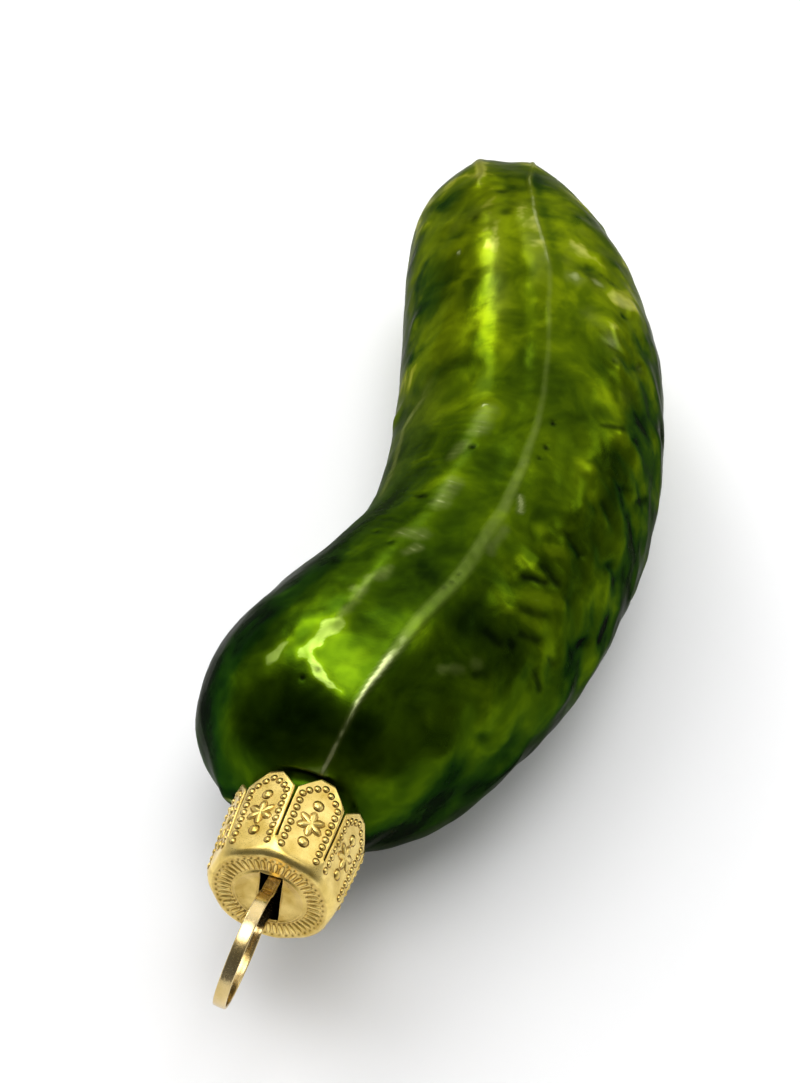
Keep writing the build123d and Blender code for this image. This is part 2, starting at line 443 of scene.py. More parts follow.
def glass_rings():
    """All rings in order, with the numbers of the first ring of the rim and of the outer dome."""
    inside_radius = BODY_RADIUS - INNER_INSET
    bore_polar = math.asin(BORE_RADIUS / inside_radius)
    inner = dome_rings(inside_radius, bore_polar, count=10)
    inner += bend_rings(inside_radius, count=14) + tail_rings(INNER_INSET, count=10, tip_count=3)
    rings = inner[::-1]
    bore_foot = inside_radius * math.cos(bore_polar)
    rim_round = GLASS_WALL / 2
    bore_top = RIM_DISTANCE - rim_round
    for i in range(BORE_STEPS + 1):
        rings.append(neck_ring(bore_foot + (bore_top - bore_foot) * i / BORE_STEPS, BORE_RADIUS))
    rim = len(rings)
    for i in range(1, RIM_STEPS):
        a = math.pi * i / RIM_STEPS
        height = bore_top + rim_round * math.sin(a)
        rings.append(neck_ring(height, BORE_RADIUS + rim_round * (1 - math.cos(a))))
    for i in range(NECK_STEPS):
        rings.append(neck_ring(bore_top + (FLARE_HEIGHT - bore_top) * i / NECK_STEPS, NECK_RADIUS))
    for i in range(FLARE_STEPS + 1):
        a = FLARE_ANGLE * i / FLARE_STEPS
        height = FLARE_HEIGHT - NECK_FLARE * math.sin(a)
        rings.append(neck_ring(height, NECK_RADIUS + NECK_FLARE * (1 - math.cos(a))))
    outer = len(rings)
    rings += dome_rings(BODY_RADIUS, FLARE_POLAR, count=62)
    rings += bend_rings(BODY_RADIUS, count=206) + tail_rings(0.0, count=108, tip_count=6)
    return rings, rim, outer


def body_coordinates(points):
    """Station along the middle line, angle from the top, positive on the outside of the bend, and reach."""
    from_dome = points - DOME
    ahead = heading(BEND_HEADING)
    station = from_dome @ ahead
    turned = np.full(len(points), float(BEND_HEADING))
    centre = DOME + np.outer(station, ahead)
    arm = points - BEND_CENTRE
    angle = np.degrees(np.arctan2(arm[:, 0], arm[:, 1])) - 90.0
    past = station > 0
    bend_station = np.radians(BEND_HEADING - angle) * BEND_RADIUS
    in_bend = past & (bend_station <= BEND_LENGTH)
    in_tail = past & ~in_bend
    station[in_bend] = bend_station[in_bend]
    turned[in_bend] = angle[in_bend]
    tail_axis = heading(TAIL_HEADING)
    tail_along = (points - TAIL_START) @ tail_axis
    station[in_tail] = BEND_LENGTH + tail_along[in_tail]
    turned[in_tail] = TAIL_HEADING
    a = np.radians(turned)
    left = np.stack([-np.cos(a), np.sin(a), np.zeros_like(a)], 1)
    centre[in_bend] = BEND_CENTRE - left[in_bend] * BEND_RADIUS
    centre[in_tail] = TAIL_START + np.outer(tail_along[in_tail], tail_axis)
    out = points - centre
    around = np.degrees(np.arctan2(-np.einsum("ij,ij->i", out, left), out[:, 2]))
    return station, around, np.linalg.norm(out, axis=1)


def hump(distance, width):
    return np.exp(-((distance / width) ** 2))


def ridge(distance, height, width):
    """Soft round ridge over a line."""
    return height * hump(distance, width)


def flat_ridge(distance, half, edge):
    """Ridge with a flat top and soft edges."""
    return 1.0 - smooth_step(np.abs(distance), half - edge, half + edge)


def turn_between(around, line):
    """Signed angle from a line to each point, between -180 and 180."""
    return (around - line + 180.0) % 360.0 - 180.0


def window(value, rise_low, rise_high, fall_low, fall_high):
    """One between the inner values, nothing outside the outer ones."""
    return smooth_step(value, rise_low, rise_high) * (1 - smooth_step(value, fall_low, fall_high))


def noise_field(points, size, seed):
    shift = Vector((seed * 7.3, seed * 3.1, seed * 5.7))
    return np.array([noise.noise(Vector(p) / size + shift) for p in points])


# Lines along the pickle as (stations, angles): the mould seam and the soft shoulder on its left.
SEAM_LINE = (
    [-12, -8.8, -5.8, -3.2, 1.7, 7.3, 14, 20, 27.5, 36, 45, 55, 61, 66, 71, 78, 82, 86, 90, 94],
    [56, 41, 32, 26, 19, 14, 11.8, 9, 6.5, 4.8, 3.2, 3.8, 7.4, 7.2, 7.0, 8.3, 12, 19, 31, 46])
SHOULDER_LINE = (
    [-10, -6, -4, 0, 5, 14, 23, 35, 50, 62, 77, 82, 85, 94],
    [-14, -8, -3, -4, -8, -17, -19, -18, -20, -18.5, -15, -19, -15.5, -17])
# Half width and height of the seam's flat ridge, and how pale it is painted, partly rubbed lacquer and
# partly painted highlight, by station.
SEAM_WIDTHS = (
    [-12, -6, -3, 0, 3.5, 8.5, 15, 21, 27, 34, 41, 50, 60, 72, 80, 94],
    [.30, .30, .28, .40, .56, .66, .72, .66, .52, .35, .26, .22, .24, .28, .28, .26])
SEAM_HEIGHTS = (
    [-13, -9, -2, 10, 30, 40, 52, 60, 75, 94],
    [.0, .08, .12, .08, .08, .07, .06, .10, .12, .20])
SEAM_RUB = (
    [-12, -6, -4.5, -3, -1, 1.5, 3.5, 6, 8.5, 27, 34, 42, 54, 60, 68, 94],
    [1., 1., .95, 1., 1., 1., .60, .28, .30, .44, .40, .35, .30, .46, .66, .72])
# How far the real outline stands off the plain form inside and outside the bend, by station.
INSIDE_OUTLINE = (
    [-16, -8, -3, 1, 6, 11, 22, 33, 41, 47, 53, 58, 63, 72, 80, 88, 94],
    [0, -0.1, -0.5, 0.1, 0.9, 0.5, -0.3, 0.6, 1.0, 0.9, 1.0, 0.5, -0.3, -0.2, 0.5, 0.6, 0.3])
OUTSIDE_OUTLINE = ([-16, 30, 45, 58, 68, 80, 94], [0, -0.2, -0.2, 0.4, 0.4, 0.1, 0.0])
OUTLINE_ROUNDING = 2.5
# Marks on the skin as (station, angle, station, angle, half width, share): first the hook on the dome, a
# painted highlight, then pale strokes of worn lacquer and painted sheen and glints on the shoulder, the fold
# inside the bend and the seam's side.
HOOK_STROKES = [
    (3.7, -7.7, 1.4, -5.9, 0.45, 0.40), (0.4, -3.2, -0.4, -4.2, 0.70, 1.0),
    (-0.4, -4.2, -2.6, -2.0, 0.45, 0.90), (-2.6, -2.0, -4.3, -2.2, 0.38, 0.80),
    (-4.3, -2.2, -4.4, -1.2, 0.40, 1.0), (-4.3, 3.0, -4.5, 8.9, 0.40, 0.75),
    (-4.5, 8.9, -4.3, 14.5, 0.32, 0.70), (-4.3, 14.5, -3.8, 19.4, 0.28, 0.60),
    (-5.1, -10.1, -6.3, -9.8, 0.50, 0.70), (-6.3, -9.8, -7.4, -9.6, 0.40, 0.50),
    (-0.6, -7.0, -1.5, -11.8, 0.45, 0.14), (-1.5, -11.8, -3.1, -12.3, 0.45, 0.18),
    (-3.1, -12.3, -4.6, -9.0, 0.40, 0.14),
]
WORN_STROKES = [
    (6.9, -12.5, 3.7, -7.7, 0.60, 0.46), (3.7, -7.7, 1.4, -5.9, 0.50, 0.46),
    (36.5, -16.5, 33.2, -16.8, 1.20, 0.46), (30.6, -20.5, 28.6, -22.5, 0.90, 0.40),
    (24.2, -15.0, 20.6, -15.0, 1.05, 0.50), (15.5, -11.0, 14.6, -20.0, 0.90, 0.46),
    (13.8, -8.6, 12.4, -10.0, 0.60, 0.46), (8.9, -9.4, 7.8, -10.5, 0.80, 0.44),
    (5.0, -9.8, 4.8, -13.0, 0.70, 0.50), (37.3, -18.0, 37.3, -16.0, 0.24, 1.0),
    (68.3, -33.2, 67.8, -32.2, 0.26, 1.0), (46, -50, 42.7, -52.3, 0.90, 0.28),
    (42.7, -52.3, 39, -64.0, 0.90, 0.32), (39, -64.0, 24.0, -57.0, 0.90, 0.28),
    (25.9, 10.7, 24.2, 14.0, 0.34, 0.75), (21.1, 13.3, 18.2, 13.4, 0.65, 0.42),
    (5.6, 33.2, 7.2, 37.7, 0.50, 0.46), (8.5, 39.4, 8.9, 41.0, 0.50, 0.40),
]
# Facets of the outer flank painted lighter as painted light, and the slits between them painted dark as
# painted shade.
FLANK_FACETS = [
    (19.3, 25.0, 20.0, 36.7, 0.65, 1.0), (21.9, 28.0, 23.8, 39.5, 0.75, 0.8),
    (16.6, 33.0, 19.6, 49.4, 0.85, 0.8), (17.5, 24.0, 17.6, 27.0, 0.85, 0.7),
    (23.7, 23.0, 23.9, 26.0, 0.80, 0.7), (14.2, 32.0, 14.4, 33.7, 0.65, 0.7),
    (14.8, 34.7, 15.9, 48.3, 0.55, 0.7), (11.2, 41.3, 11.5, 44.3, 0.80, 0.6),
    (30.8, 36.0, 29.8, 45.8, 0.80, 0.6), (33.1, 28.0, 33.8, 31.9, 0.95, 0.6),
    (34.0, 24.7, 39.5, 41.2, 1.00, 0.5), (44.5, 24.7, 43.3, 29.3, 1.40, 0.6),
    (1.8, 44.3, 2.0, 45.3, 0.70, 0.6), (5.6, 33.2, 7.2, 37.7, 0.60, 0.5),
    (8.5, 39.4, 8.9, 41.0, 0.60, 0.5),
]
DARK_SLITS = [
    (18.3, 30.1, 19.6, 38.0, 0.34, 0.8), (20.8, 33.3, 20.6, 42.9, 0.34, 0.7),
    (25.3, 33.4, 24.7, 43.5, 0.30, 0.6), (15.7, 37.5, 17.3, 46.9, 0.42, 0.5),
    (11.4, 33.9, 11.7, 41.0, 0.42, 0.6), (12.8, 43.7, 12.8, 45.2, 0.45, 0.6),
    (14.1, 44.1, 15.3, 51.4, 0.42, 0.6), (13.4, 60.4, 13.2, 67.7, 0.36, 0.7),
    (15.3, 61.3, 15.4, 63.9, 0.45, 0.6), (21.7, 78.1, 23.5, 76.5, 0.45, 0.7),
    (20.3, 48.8, 20.2, 50.7, 0.40, 0.5), (39.1, 29.9, 40.2, 39.4, 0.34, 0.6),
    (31.1, 41.6, 30.4, 48.8, 0.32, 0.5), (21.3, -27.7, 21.2, -22.8, 0.28, 0.5),
    (8.0, 43.0, 9.2, 46.0, 0.40, 0.5), (50.5, 30.5, 50.2, 35.0, 0.34, 0.4),
    (62.0, 33.0, 61.2, 38.0, 0.34, 0.3), (35.0, 60.0, 36.5, 66.0, 0.45, 0.5),
]
# Soft patches of painted light and shade, lighter and darker lacquer, as (station, angle, length, width,
# change of tone).
TONE_PATCHES = [
    (-1.2, 8.0, 3.0, 3.2, 0.20), (8.5, 1.0, 5.0, 3.6, -0.16), (18.0, -1.0, 7.0, 2.4, -0.08),
    (30.0, -3.0, 8.0, 2.6, -0.05), (-9.3, 8.0, 2.4, 3.0, -0.16), (-7.1, 23.6, 2.0, 2.2, -0.14),
    (-4.1, 37.0, 2.4, 2.4, -0.18), (10.4, 26.0, 2.4, 3.4, -0.28), (28.7, 15.8, 1.2, 1.0, -0.16),
    (25.2, 20.5, 1.0, 1.0, -0.18), (19.8, 19.0, 0.8, 0.9, -0.18), (-5.3, 57.0, 2.0, 2.0, 0.14),
    (16.0, 58.0, 6.0, 2.6, 0.10), (26.0, 56.0, 6.0, 2.6, 0.10), (66.0, 20.0, 6.0, 2.4, 0.12),
    (60.0, -48.0, 13.0, 4.2, -0.03), (0.6, 44.0, 4.5, 3.2, 0.10), (21.0, 30.0, 5.0, 4.0, 0.07),
    (76.5, -16.0, 3.4, 3.0, 0.08), (77.5, -4.0, 2.4, 2.2, 0.09), (78.0, -40.0, 6.0, 3.6, -0.08),
]
# Warts as (station, angle, width, height).
WARTS = [
    (53, 32, 1.5, 0.40), (48, 33, 1.4, 0.38), (39.5, 39, 1.5, 0.40), (37.3, -17, 1.0, 0.22),
    (33.5, 30, 1.5, 0.30), (29, 62, 1.6, 0.35), (22, 86, 2.2, 0.50), (15, 82, 2.0, 0.45), (8, 92, 1.9, 0.40),
    (58, 48, 1.4, 0.30), (66, 35, 1.2, 0.30), (44, 66, 1.7, 0.40), (72, 30, 1.6, 0.3), (60, 22, 1.6, 0.25),
    (12, 55, 1.2, 0.26), (26, 48, 1.1, 0.2), (5, 48, 1.2, 0.22), (2, 62, 1.4, 0.3),
    (62, -62, 1.5, 0.35), (46, -78, 1.6, 0.35), (28, -120, 1.7, 0.40), (10, -110, 1.8, 0.40),
    (54, -140, 1.6, 0.40), (70, 150, 1.4, 0.35), (40, 140, 1.8, 0.45), (18, 160, 1.7, 0.40),
    (2, 125, 2.2, 0.15), (33, 110, 1.8, 0.45), (52, 100, 1.6, 0.40), (64, 92, 1.5, 0.35),
    (73, -100, 1.3, 0.30), (78, 60, 1.1, 0.25), (-8, -140, 1.4, 0.30),
]
# Small pits as (station, angle, width, depth, darkness), the darkness being painted shade in the pit.
PITS = [
    (30.4, -15.8, 0.34, 0.16, 1.0), (36.5, 10.7, 0.36, 0.16, 1.0), (33.0, 11.4, 0.40, 0.14, 0.9),
    (31.3, 10.6, 0.28, 0.10, 0.7), (48.3, 32.2, 0.42, 0.20, 0.4), (-6.0, 6.1, 0.26, 0.10, 1.0),
    (-4.5, 7.6, 0.34, 0.06, 0.5), (79.3, -7.6, 0.75, 0.10, 0.5), (73.6, -7.6, 0.85, 0.10, 0.4),
    (73.6, -22.7, 0.75, 0.10, 0.6), (12.8, -19.4, 0.30, 0.10, 0.4), (14.0, -30.8, 0.32, 0.10, 0.5),
    (21.4, -25.3, 0.34, 0.10, 0.4), (25, 45, 0.45, 0.15, 0.4), (40, 140, 0.5, 0.2, 0.5),
    (33, 110, 0.5, 0.2, 0.5), (54, -140, 0.5, 0.2, 0.5), (18, 160, 0.5, 0.2, 0.5),
    (13.5, 11.4, 0.22, 0.05, 0.6), (12.3, 11.8, 0.20, 0.05, 0.5), (11.3, 11.2, 0.22, 0.05, 0.5),
]
# Pale patches as (station, angle, width, share): partly worn lacquer, partly painted highlight on the warts.
WORN_PATCHES = [
    (60.0, 18, 1.1, 0.80), (60.2, 28.6, 1.2, 0.85), (58.0, 40, 1.2, 0.60), (51.0, 31, 1.2, 0.60),
    (48.9, 33.5, 0.9, 0.40), (49.7, 48, 0.8, 0.50), (80.8, 26, 0.9, 0.40), (68, 46, 1.3, 0.3),
    (74.0, -33.6, 1.2, 0.35), (74.9, -22.4, 1.2, 0.35), (30, 150, 1.2, 0.3), (66, 22, 1.6, 0.40),
    (54, 22, 1.3, 0.30), (70, 30, 1.5, 0.36), (45, 42, 1.1, 0.26), (63, 16, 1.2, 0.36),
    (50, -110, 1.3, 0.3), (22, -95, 1.2, 0.3), (62, 120, 1.2, 0.3), (10, 130, 1.1, 0.3),
]
# Longer dents as (station, angle, width, length, slant, depth).
DENTS = [
    (27, 60, 0.5, 1.2, 45, 0.30), (35, 52, 0.45, 1.1, 60, 0.26), (6, 66, 0.5, 1.2, 55, 0.30),
    (20, 72, 0.5, 1.1, 40, 0.32), (56, 40, 0.5, 1.0, 40, 0.25), (50, 47, 0.45, 1.0, 60, 0.26),
    (63, 28, 0.5, 1.1, 50, 0.24),
]
# Small lump in the glass between two petals, as (station, angle, station, angle).
COLLAR_LUMP = (-10.9, 40.5, -9.4, 43.0)
COLLAR_HEIGHT = 0.5
COLLAR_WIDTH = 1.0
# How much lighter the lacquer over the lump is painted, as a painted highlight.
COLLAR_TONE = 0.60
# The tip leans a little to the left, and the middle of its flat lies a little in.
TIP_LEAN = 0.7
TIP_HOLLOW = 0.05
# Share of the broad relief that is left on the tip's flat.
TIP_RELIEF = 0.35
# How much lighter the lacquer is painted on raised relief and darker in dips, dents and pits, as painted
# light and shade, and how much lighter towards the tail.
FINE_TONE = 1.6
BROAD_TONE = 0.45
TAIL_TONE = 0.41
# The lacquer is deepest at the first of these stations, and plain at the second.
DEEP_STATION = -10.0
PLAIN_STATION = 60.0


class Skin:
    """Outside of the glass: where each point lies on the pickle, and the layers that are laid on it.

    broad and fine are heights over the plain form. The other layers give the lacquer's paleness, from wear
    and painted highlight, sheen and glints, its dullness, painted shade in pits and slits, and mostly
    painted light and shade that lighten or darken it.
    """

    def __init__(self, points):
        self.points = points
        self.station, self.around, self.reach = body_coordinates(points)
        self.arc = np.radians(1.0) * self.reach
        self.broad, self.fine, self.rub, self.dull, self.spot, self.tone = np.zeros((6, len(points)))
        self.seam = self.from_line(SEAM_LINE) + 0.22 * self.noise(size=5.0, seed=8.0)
        self.shoulder = self.from_line(SHOULDER_LINE)
        self.grain = self.noise(size=0.9, seed=11.0)
        self.ragged = self.noise(size=1.0, seed=13.0)
        self.stripes = self.waves(length=0.8, wander=2.4, size=2.4, seed=9.0)

    def noise(self, size, seed):
        return noise_field(self.points, size, seed)

    def waves(self, length, wander, size, seed):
        """Cross waves along the pickle that wander a little."""
        return np.sin(self.station * 2 * math.pi / length + wander * self.noise(size, seed))

    def past(self, low, high):
        return smooth_step(self.station, low, high)

    def between(self, *limits):
        return window(self.station, *limits)

    def by_station(self, table):
        return np.interp(self.station, *table)

    def across(self, angle):
        """Distance over the surface, round the pickle, from an angle."""
        return turn_between(self.around, angle) * self.arc

    def from_line(self, line):
        return self.across(self.by_station(line))

    def from_place(self, station, angle):
        return np.hypot(self.station - station, self.across(angle))

    def from_stroke(self, stroke, raggedness=0.0):
        """Distance over the surface from a straight stroke between two (station, angle) places."""
        s0, a0, s1, a1 = stroke
        along = self.station - s0
        across = self.across(a0)
        run = np.array([s1 - s0, (a1 - a0) * math.radians(1.0) * BODY_RADIUS])
        share = np.clip((along * run[0] + across * run[1]) / max(run @ run, 1e-6), 0.0, 1.0)
        return np.hypot(along - share * run[0], across - share * run[1]) + raggedness * self.ragged


def press_seam(skin):
    """Seam and shoulder along the top with the hollows beside them, and a thin seam underneath."""
    skin.broad += ridge(skin.seam, height=0.14, width=2.2)
    skin.broad += ridge(skin.shoulder, height=0.26, width=2.6)
    skin.broad -= ridge((skin.seam + skin.shoulder) / 2, height=0.20, width=1.7) * skin.past(5, 25)
    skin.broad += ridge(skin.across(42), height=0.22, width=4.0) * skin.past(20, 40)
    skin.broad -= ridge(skin.seam - 3.8, height=0.22, width=2.2) * skin.between(-6, 2, 22, 34)
    waver = 1.0 + 0.5 * skin.noise(size=3.5, seed=7.0)
    top = flat_ridge(skin.seam, skin.by_station(SEAM_WIDTHS), edge=0.28)
    skin.fine += skin.by_station(SEAM_HEIGHTS) * waver * top
    # The seam's top is painted pale: partly rubbed lacquer, partly painted highlight.
    skin.rub += top * (0.5 + 0.5 * waver + 0.45 * skin.grain) * skin.by_station(SEAM_RUB)
    skin.dull += 0.5 * top
    below = skin.across(skin.by_station(SEAM_LINE) * 0.5 + 180.0)
    skin.fine += 0.18 * flat_ridge(below, half=0.35, edge=0.18) * skin.past(2, 8)


def press_step(skin):
    """Flat step beside the seam near the tip, painted pale partly as lighter lacquer and partly as painted
    sheen, and a line of painted shade on the seam's other side.
    """
    step = window(skin.seam, -3.2, -1.4, -0.3, 0.1) * skin.between(57, 63, 71, 79)
    skin.broad += 0.10 * step
    skin.rub += 0.46 * step * (1.0 + 0.9 * skin.noise(size=3.0, seed=14.0))
    skin.dull += 0.8 * step
    skin.tone += 0.10 * step
    skin.tone -= ridge(skin.seam - 1.0, height=0.12, width=0.7) * skin.between(58, 63, 80, 88)


def paint_strokes(skin):
    """Strokes with ragged edges: the hook's painted highlight, pale strokes of wear and painted sheen,
    painted light on the flank's facets and painted shade in their slits, and soft patches of painted light
    and shade.
    """
    # Painted highlight of the hook.
    for *stroke, half, share in HOOK_STROKES:
        away = skin.from_stroke(stroke, raggedness=0.25)
        skin.tone += share * (ridge(away, height=0.22, width=2.2 * half)
                              + ridge(away, height=0.42, width=1.1 * half))
    for *stroke, half, share in WORN_STROKES:
        # Pale strokes of worn lacquer and of painted sheen and glints.
        away = skin.from_stroke(stroke, raggedness=0.35)
        mark = share * (1.0 - smooth_step(away, 0.2 * half, 1.5 * half))
        skin.rub = np.maximum(skin.rub, mark * (1.0 + 0.3 * skin.grain))
    # Painted light on the flank's facets.
    for *stroke, half, share in FLANK_FACETS:
        away = skin.from_stroke(stroke, raggedness=0.4)
        mark = share * (1.0 - smooth_step(away, 0.3 * half, 1.4 * half))
        skin.tone += 0.20 * mark
        skin.broad += 0.05 * mark
    # Painted shade in the slits between the facets.
    for *stroke, half, darkness in DARK_SLITS:
        away = np.maximum(skin.from_stroke(stroke, raggedness=0.3), 0.0)
        mark = darkness * hump(away, half)
        skin.spot += mark
        skin.fine -= 0.14 * mark
    # Soft patches of painted light and shade.
    for place, angle, length, width, change in TONE_PATCHES:
        skin.tone += change * hump(skin.station - place, length) * hump(skin.across(angle), width)


def rub_bands(skin):
    """Fine cross stripes and a pale band on the shoulder as a painted highlight, and a painted grey sheen
    inside the bend.
    """
    striped = window(skin.around, -30, -24, -6, -3) * skin.between(6, 10, 50, 60)
    skin.rub *= 1.0 + 0.22 * skin.stripes * striped
    skin.rub += ridge(skin.shoulder - 0.5, height=0.26, width=1.3) * skin.between(50, 58, 72, 79)
    inside = turn_between(skin.around, -64)
    skin.rub += ridge(inside, height=0.42, width=17.0) * skin.between(14, 26, 46, 56)
    skin.dull += hump(turn_between(skin.around, -40), 34.0) * skin.between(4, 16, 42, 48)


def press_tip(skin):
    """Two small corners of the tip: a pale one at the shoulder's end and one at the seam's end."""
    corner = hump(skin.shoulder, 0.7) * skin.past(80, 84)
    skin.fine += 0.30 * corner + ridge(skin.seam, height=0.26, width=2.0) * skin.past(84, 92)
    skin.rub += 0.45 * corner


def press_marks(skin):
    """Warts, pits with painted shade in them, pale patches partly worn and partly painted highlight, and
    dents.
    """
    for place, angle, width, height in WARTS:
        skin.broad += ridge(skin.from_place(place, angle), height, width)
    for place, angle, width, depth, darkness in PITS:
        away = skin.from_place(place, angle)
        skin.fine -= ridge(away, depth, width)
        skin.spot += ridge(away, darkness, 0.85 * width)
    for place, angle, width, share in WORN_PATCHES:
        away = skin.from_place(place, angle) + 0.6 * skin.ragged
        skin.rub += ridge(np.maximum(away, 0.0), share, width)
    for place, angle, width, length, slant, depth in DENTS:
        x = skin.station - place
        y = skin.across(angle)
        c = math.cos(math.radians(slant))
        s = math.sin(math.radians(slant))
        skin.fine -= depth * hump(x * c + y * s, length) * hump(y * c - x * s, width)


def crumple_skin(skin):
    """Crumpled skin on the outside of the bend, fine cross wrinkles on the inside, soft waves all over."""
    round_way = skin.around * skin.arc
    skewed = np.stack([skin.station * 0.9 + round_way * 0.35, round_way * 0.6, skin.reach * 0.2], 1)
    crumple = noise_field(skewed, size=2.2, seed=1.0) * window(skin.around, 14, 34, 110, 150)
    skin.broad += 0.30 * crumple * skin.past(-2, 12) * (1 - 0.75 * skin.past(45, 72))
    cells = [noise.voronoi(Vector(p) / 2.6)[0] for p in skewed]
    nearest = np.array([distances[0] for distances in cells])
    gap = np.array([distances[1] - distances[0] for distances in cells])
    facets = window(skin.around, 14, 34, 60, 84) * skin.between(4, 10, 34, 44)
    skin.fine -= 0.06 * (1.0 - smooth_step(gap, 0.0, 0.22)) * facets
    skin.fine += 0.07 * (nearest - 0.4) * facets
    wrinkles = skin.waves(length=1.3, wander=3.0, size=4.0, seed=2.0)
    wrinkled = hump(turn_between(skin.around, -32), 15.0) * skin.between(6, 16, 30, 46)
    skin.fine += 0.028 * wrinkles * wrinkled * (0.6 + 1.2 * skin.noise(size=2.5, seed=3.0))
    skin.fine += 0.012 * skin.stripes * hump(skin.shoulder, 1.2) * skin.between(40, 50, 68, 76)
    skin.broad += 0.30 * skin.noise(size=9.0, seed=4.0) + 0.12 * skin.noise(size=3.5, seed=5.0)
    skin.fine += 0.03 * skin.noise(size=1.2, seed=6.0)


def fit_outline(skin):
    """The real outline is a little fuller inside the bend and slimmer before the tip."""
    shifts = np.linspace(-OUTLINE_ROUNDING, OUTLINE_ROUNDING, 5)
    sideways = np.sin(np.radians(skin.around))
    for side, outline in ((-sideways, INSIDE_OUTLINE), (sideways, OUTSIDE_OUTLINE)):
        stand = np.mean([np.interp(skin.station + shift, *outline) for shift in shifts], axis=0)
        skin.broad += np.clip(side, 0.0, 1.0) ** 2 * stand


def ring_points(rings):
    """Points of all rings, closer together at the top than underneath."""
    t = np.arange(AROUND) / AROUND
    turn = 2 * math.pi * t - TOP_CROWDING * np.sin(2 * math.pi * t)
    points = np.zeros((len(rings), AROUND, 3))
    for i, (centre, axis, radius) in enumerate(rings):
        up = unit(UP - axis * np.dot(UP, axis))
        side = np.cross(axis, up)
        points[i] = centre + radius * (np.outer(np.cos(turn), up) + np.outer(np.sin(turn), side))
    return points


def outward_normals(points, rings, outer):
    """Unit normals of the outer skin, pointing away from the rings' middles."""
    along = np.gradient(points, axis=0)
    across = np.roll(points, -1, axis=1) - np.roll(points, 1, axis=1)
    normal = np.cross(across, along)
    normal /= np.maximum(np.linalg.norm(normal, axis=2, keepdims=True), 1e-9)
    normal = normal[outer:].reshape(-1, 3)
    middles = np.repeat([ring[0] for ring in rings[outer:]], AROUND, axis=0)
    outward = np.einsum("ij,ij->i", normal, points[outer:].reshape(-1, 3) - middles)
    return -normal if np.median(outward) < 0 else normal


def dome_flattening(from_dome, off_neck):
    """The real dome is a little flatter beside and below the cap, more so on its right."""
    right = smooth_step(from_dome[:, 0], -0.4, 0.4)
    low_left = 0.9 * window(off_neck, 20, 42, 44, 72) * (1 - right)
    low_right = 1.7 * window(off_neck, 20, 40, 42, 90) * right
    return (low_left + low_right) * (1 - smooth_step(from_dome[:, 2], -0.2, 0.6))


def glass_faces(rows, rim):
    """Faces of the closed skin with their material numbers; the two tips are the last two points."""
    faces = grid_faces(rows, AROUND)
    material = [1 if face[0] // AROUND < rim - 1 else 0 for face in faces]
    inner_tip = rows * AROUND
    last = (rows - 1) * AROUND
    for j in range(AROUND):
        k = (j + 1) % AROUND
        faces.append((inner_tip, k, j))
        faces.append((inner_tip + 1, last + j, last + k))
        material += [1, 0]
    return faces, material


def build_glass():
    rings, rim, outer = glass_rings()
    rows = len(rings)
    points = ring_points(rings)
    normal = outward_normals(points, rings, outer)
    skin = Skin(points[outer:].reshape(-1, 3))
    for work in (press_seam, press_step, paint_strokes, rub_bands, press_tip, press_marks, crumple_skin,
                 fit_outline):
        work(skin)
    from_dome = skin.points - DOME
    from_dome /= np.linalg.norm(from_dome, axis=1, keepdims=True)
    off_neck = np.degrees(np.arccos(np.clip(from_dome @ NECK_OUT, -1, 1)))
    fade = smooth_step(off_neck, 25.0, 40.0)
    collar = hump(skin.from_stroke(COLLAR_LUMP), COLLAR_WIDTH)
    tip = smooth_step(BEND_LENGTH + TAIL_LENGTH - skin.station, 0.0, 1.5)
    height = (skin.broad * (TIP_RELIEF + (1 - TIP_RELIEF) * tip) + skin.fine) * fade
    height += COLLAR_HEIGHT * collar - dome_flattening(from_dome, off_neck)
    lean = TIP_LEAN * left_of(TAIL_HEADING)
    lifted = skin.points + normal * height[:, None] + np.outer(skin.past(78, 92), lean)
    lifted[:, 2] = np.maximum(lifted[:, 2], 0.0)
    points[outer:] = lifted.reshape(-1, AROUND, 3)
    tail_axis = heading(TAIL_HEADING)
    verts = np.vstack([
        points.reshape(-1, 3),
        TAIL_START + tail_axis * (TAIL_LENGTH - INNER_INSET),
        TAIL_START + tail_axis * (TAIL_LENGTH - TIP_HOLLOW) + lean])
    faces, material = glass_faces(rows, rim)
    piece = new_object("pickle_glass", verts, faces, [LACQUER, SILVER], material, smooth=0)
    # Painted light and shade: lighter over raised relief and darker in dips, plus the painted light of the
    # strokes and patches and the collar's painted highlight.
    relief = (skin.fine * FINE_TONE + skin.broad * BROAD_TONE) * fade + TAIL_TONE * skin.past(38, 80)
    relief += (skin.tone + COLLAR_TONE * collar) / RELIEF_SHARE
    depth = (PLAIN_STATION - skin.station) / (PLAIN_STATION - DEEP_STATION)
    layers = {
        "relief": np.clip(relief, -1.0, 1.0),
        "rub": np.clip(skin.rub, 0.0, 1.0) * smooth_step(off_neck, 20.0, 28.0),
        "deep": np.clip(depth, 0.0, 1.0),
        "dull": np.clip(skin.dull, 0.0, 1.0),
        "spot": np.clip(skin.spot, 0.0, 1.0),
        "neck": 0.0,
    }
    for name, values in layers.items():
        whole = np.zeros(len(verts))
        whole[outer * AROUND:rows * AROUND] = values
        if name == "deep":
            whole[:outer * AROUND] = 1.0
        if name == "neck":
            whole[:(outer - LACQUERED_NECK_RINGS) * AROUND] = 1.0
        store_layer(piece, name, whole)
    return piece


glass = build_glass()
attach(glass, "glass")
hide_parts("glass_body")


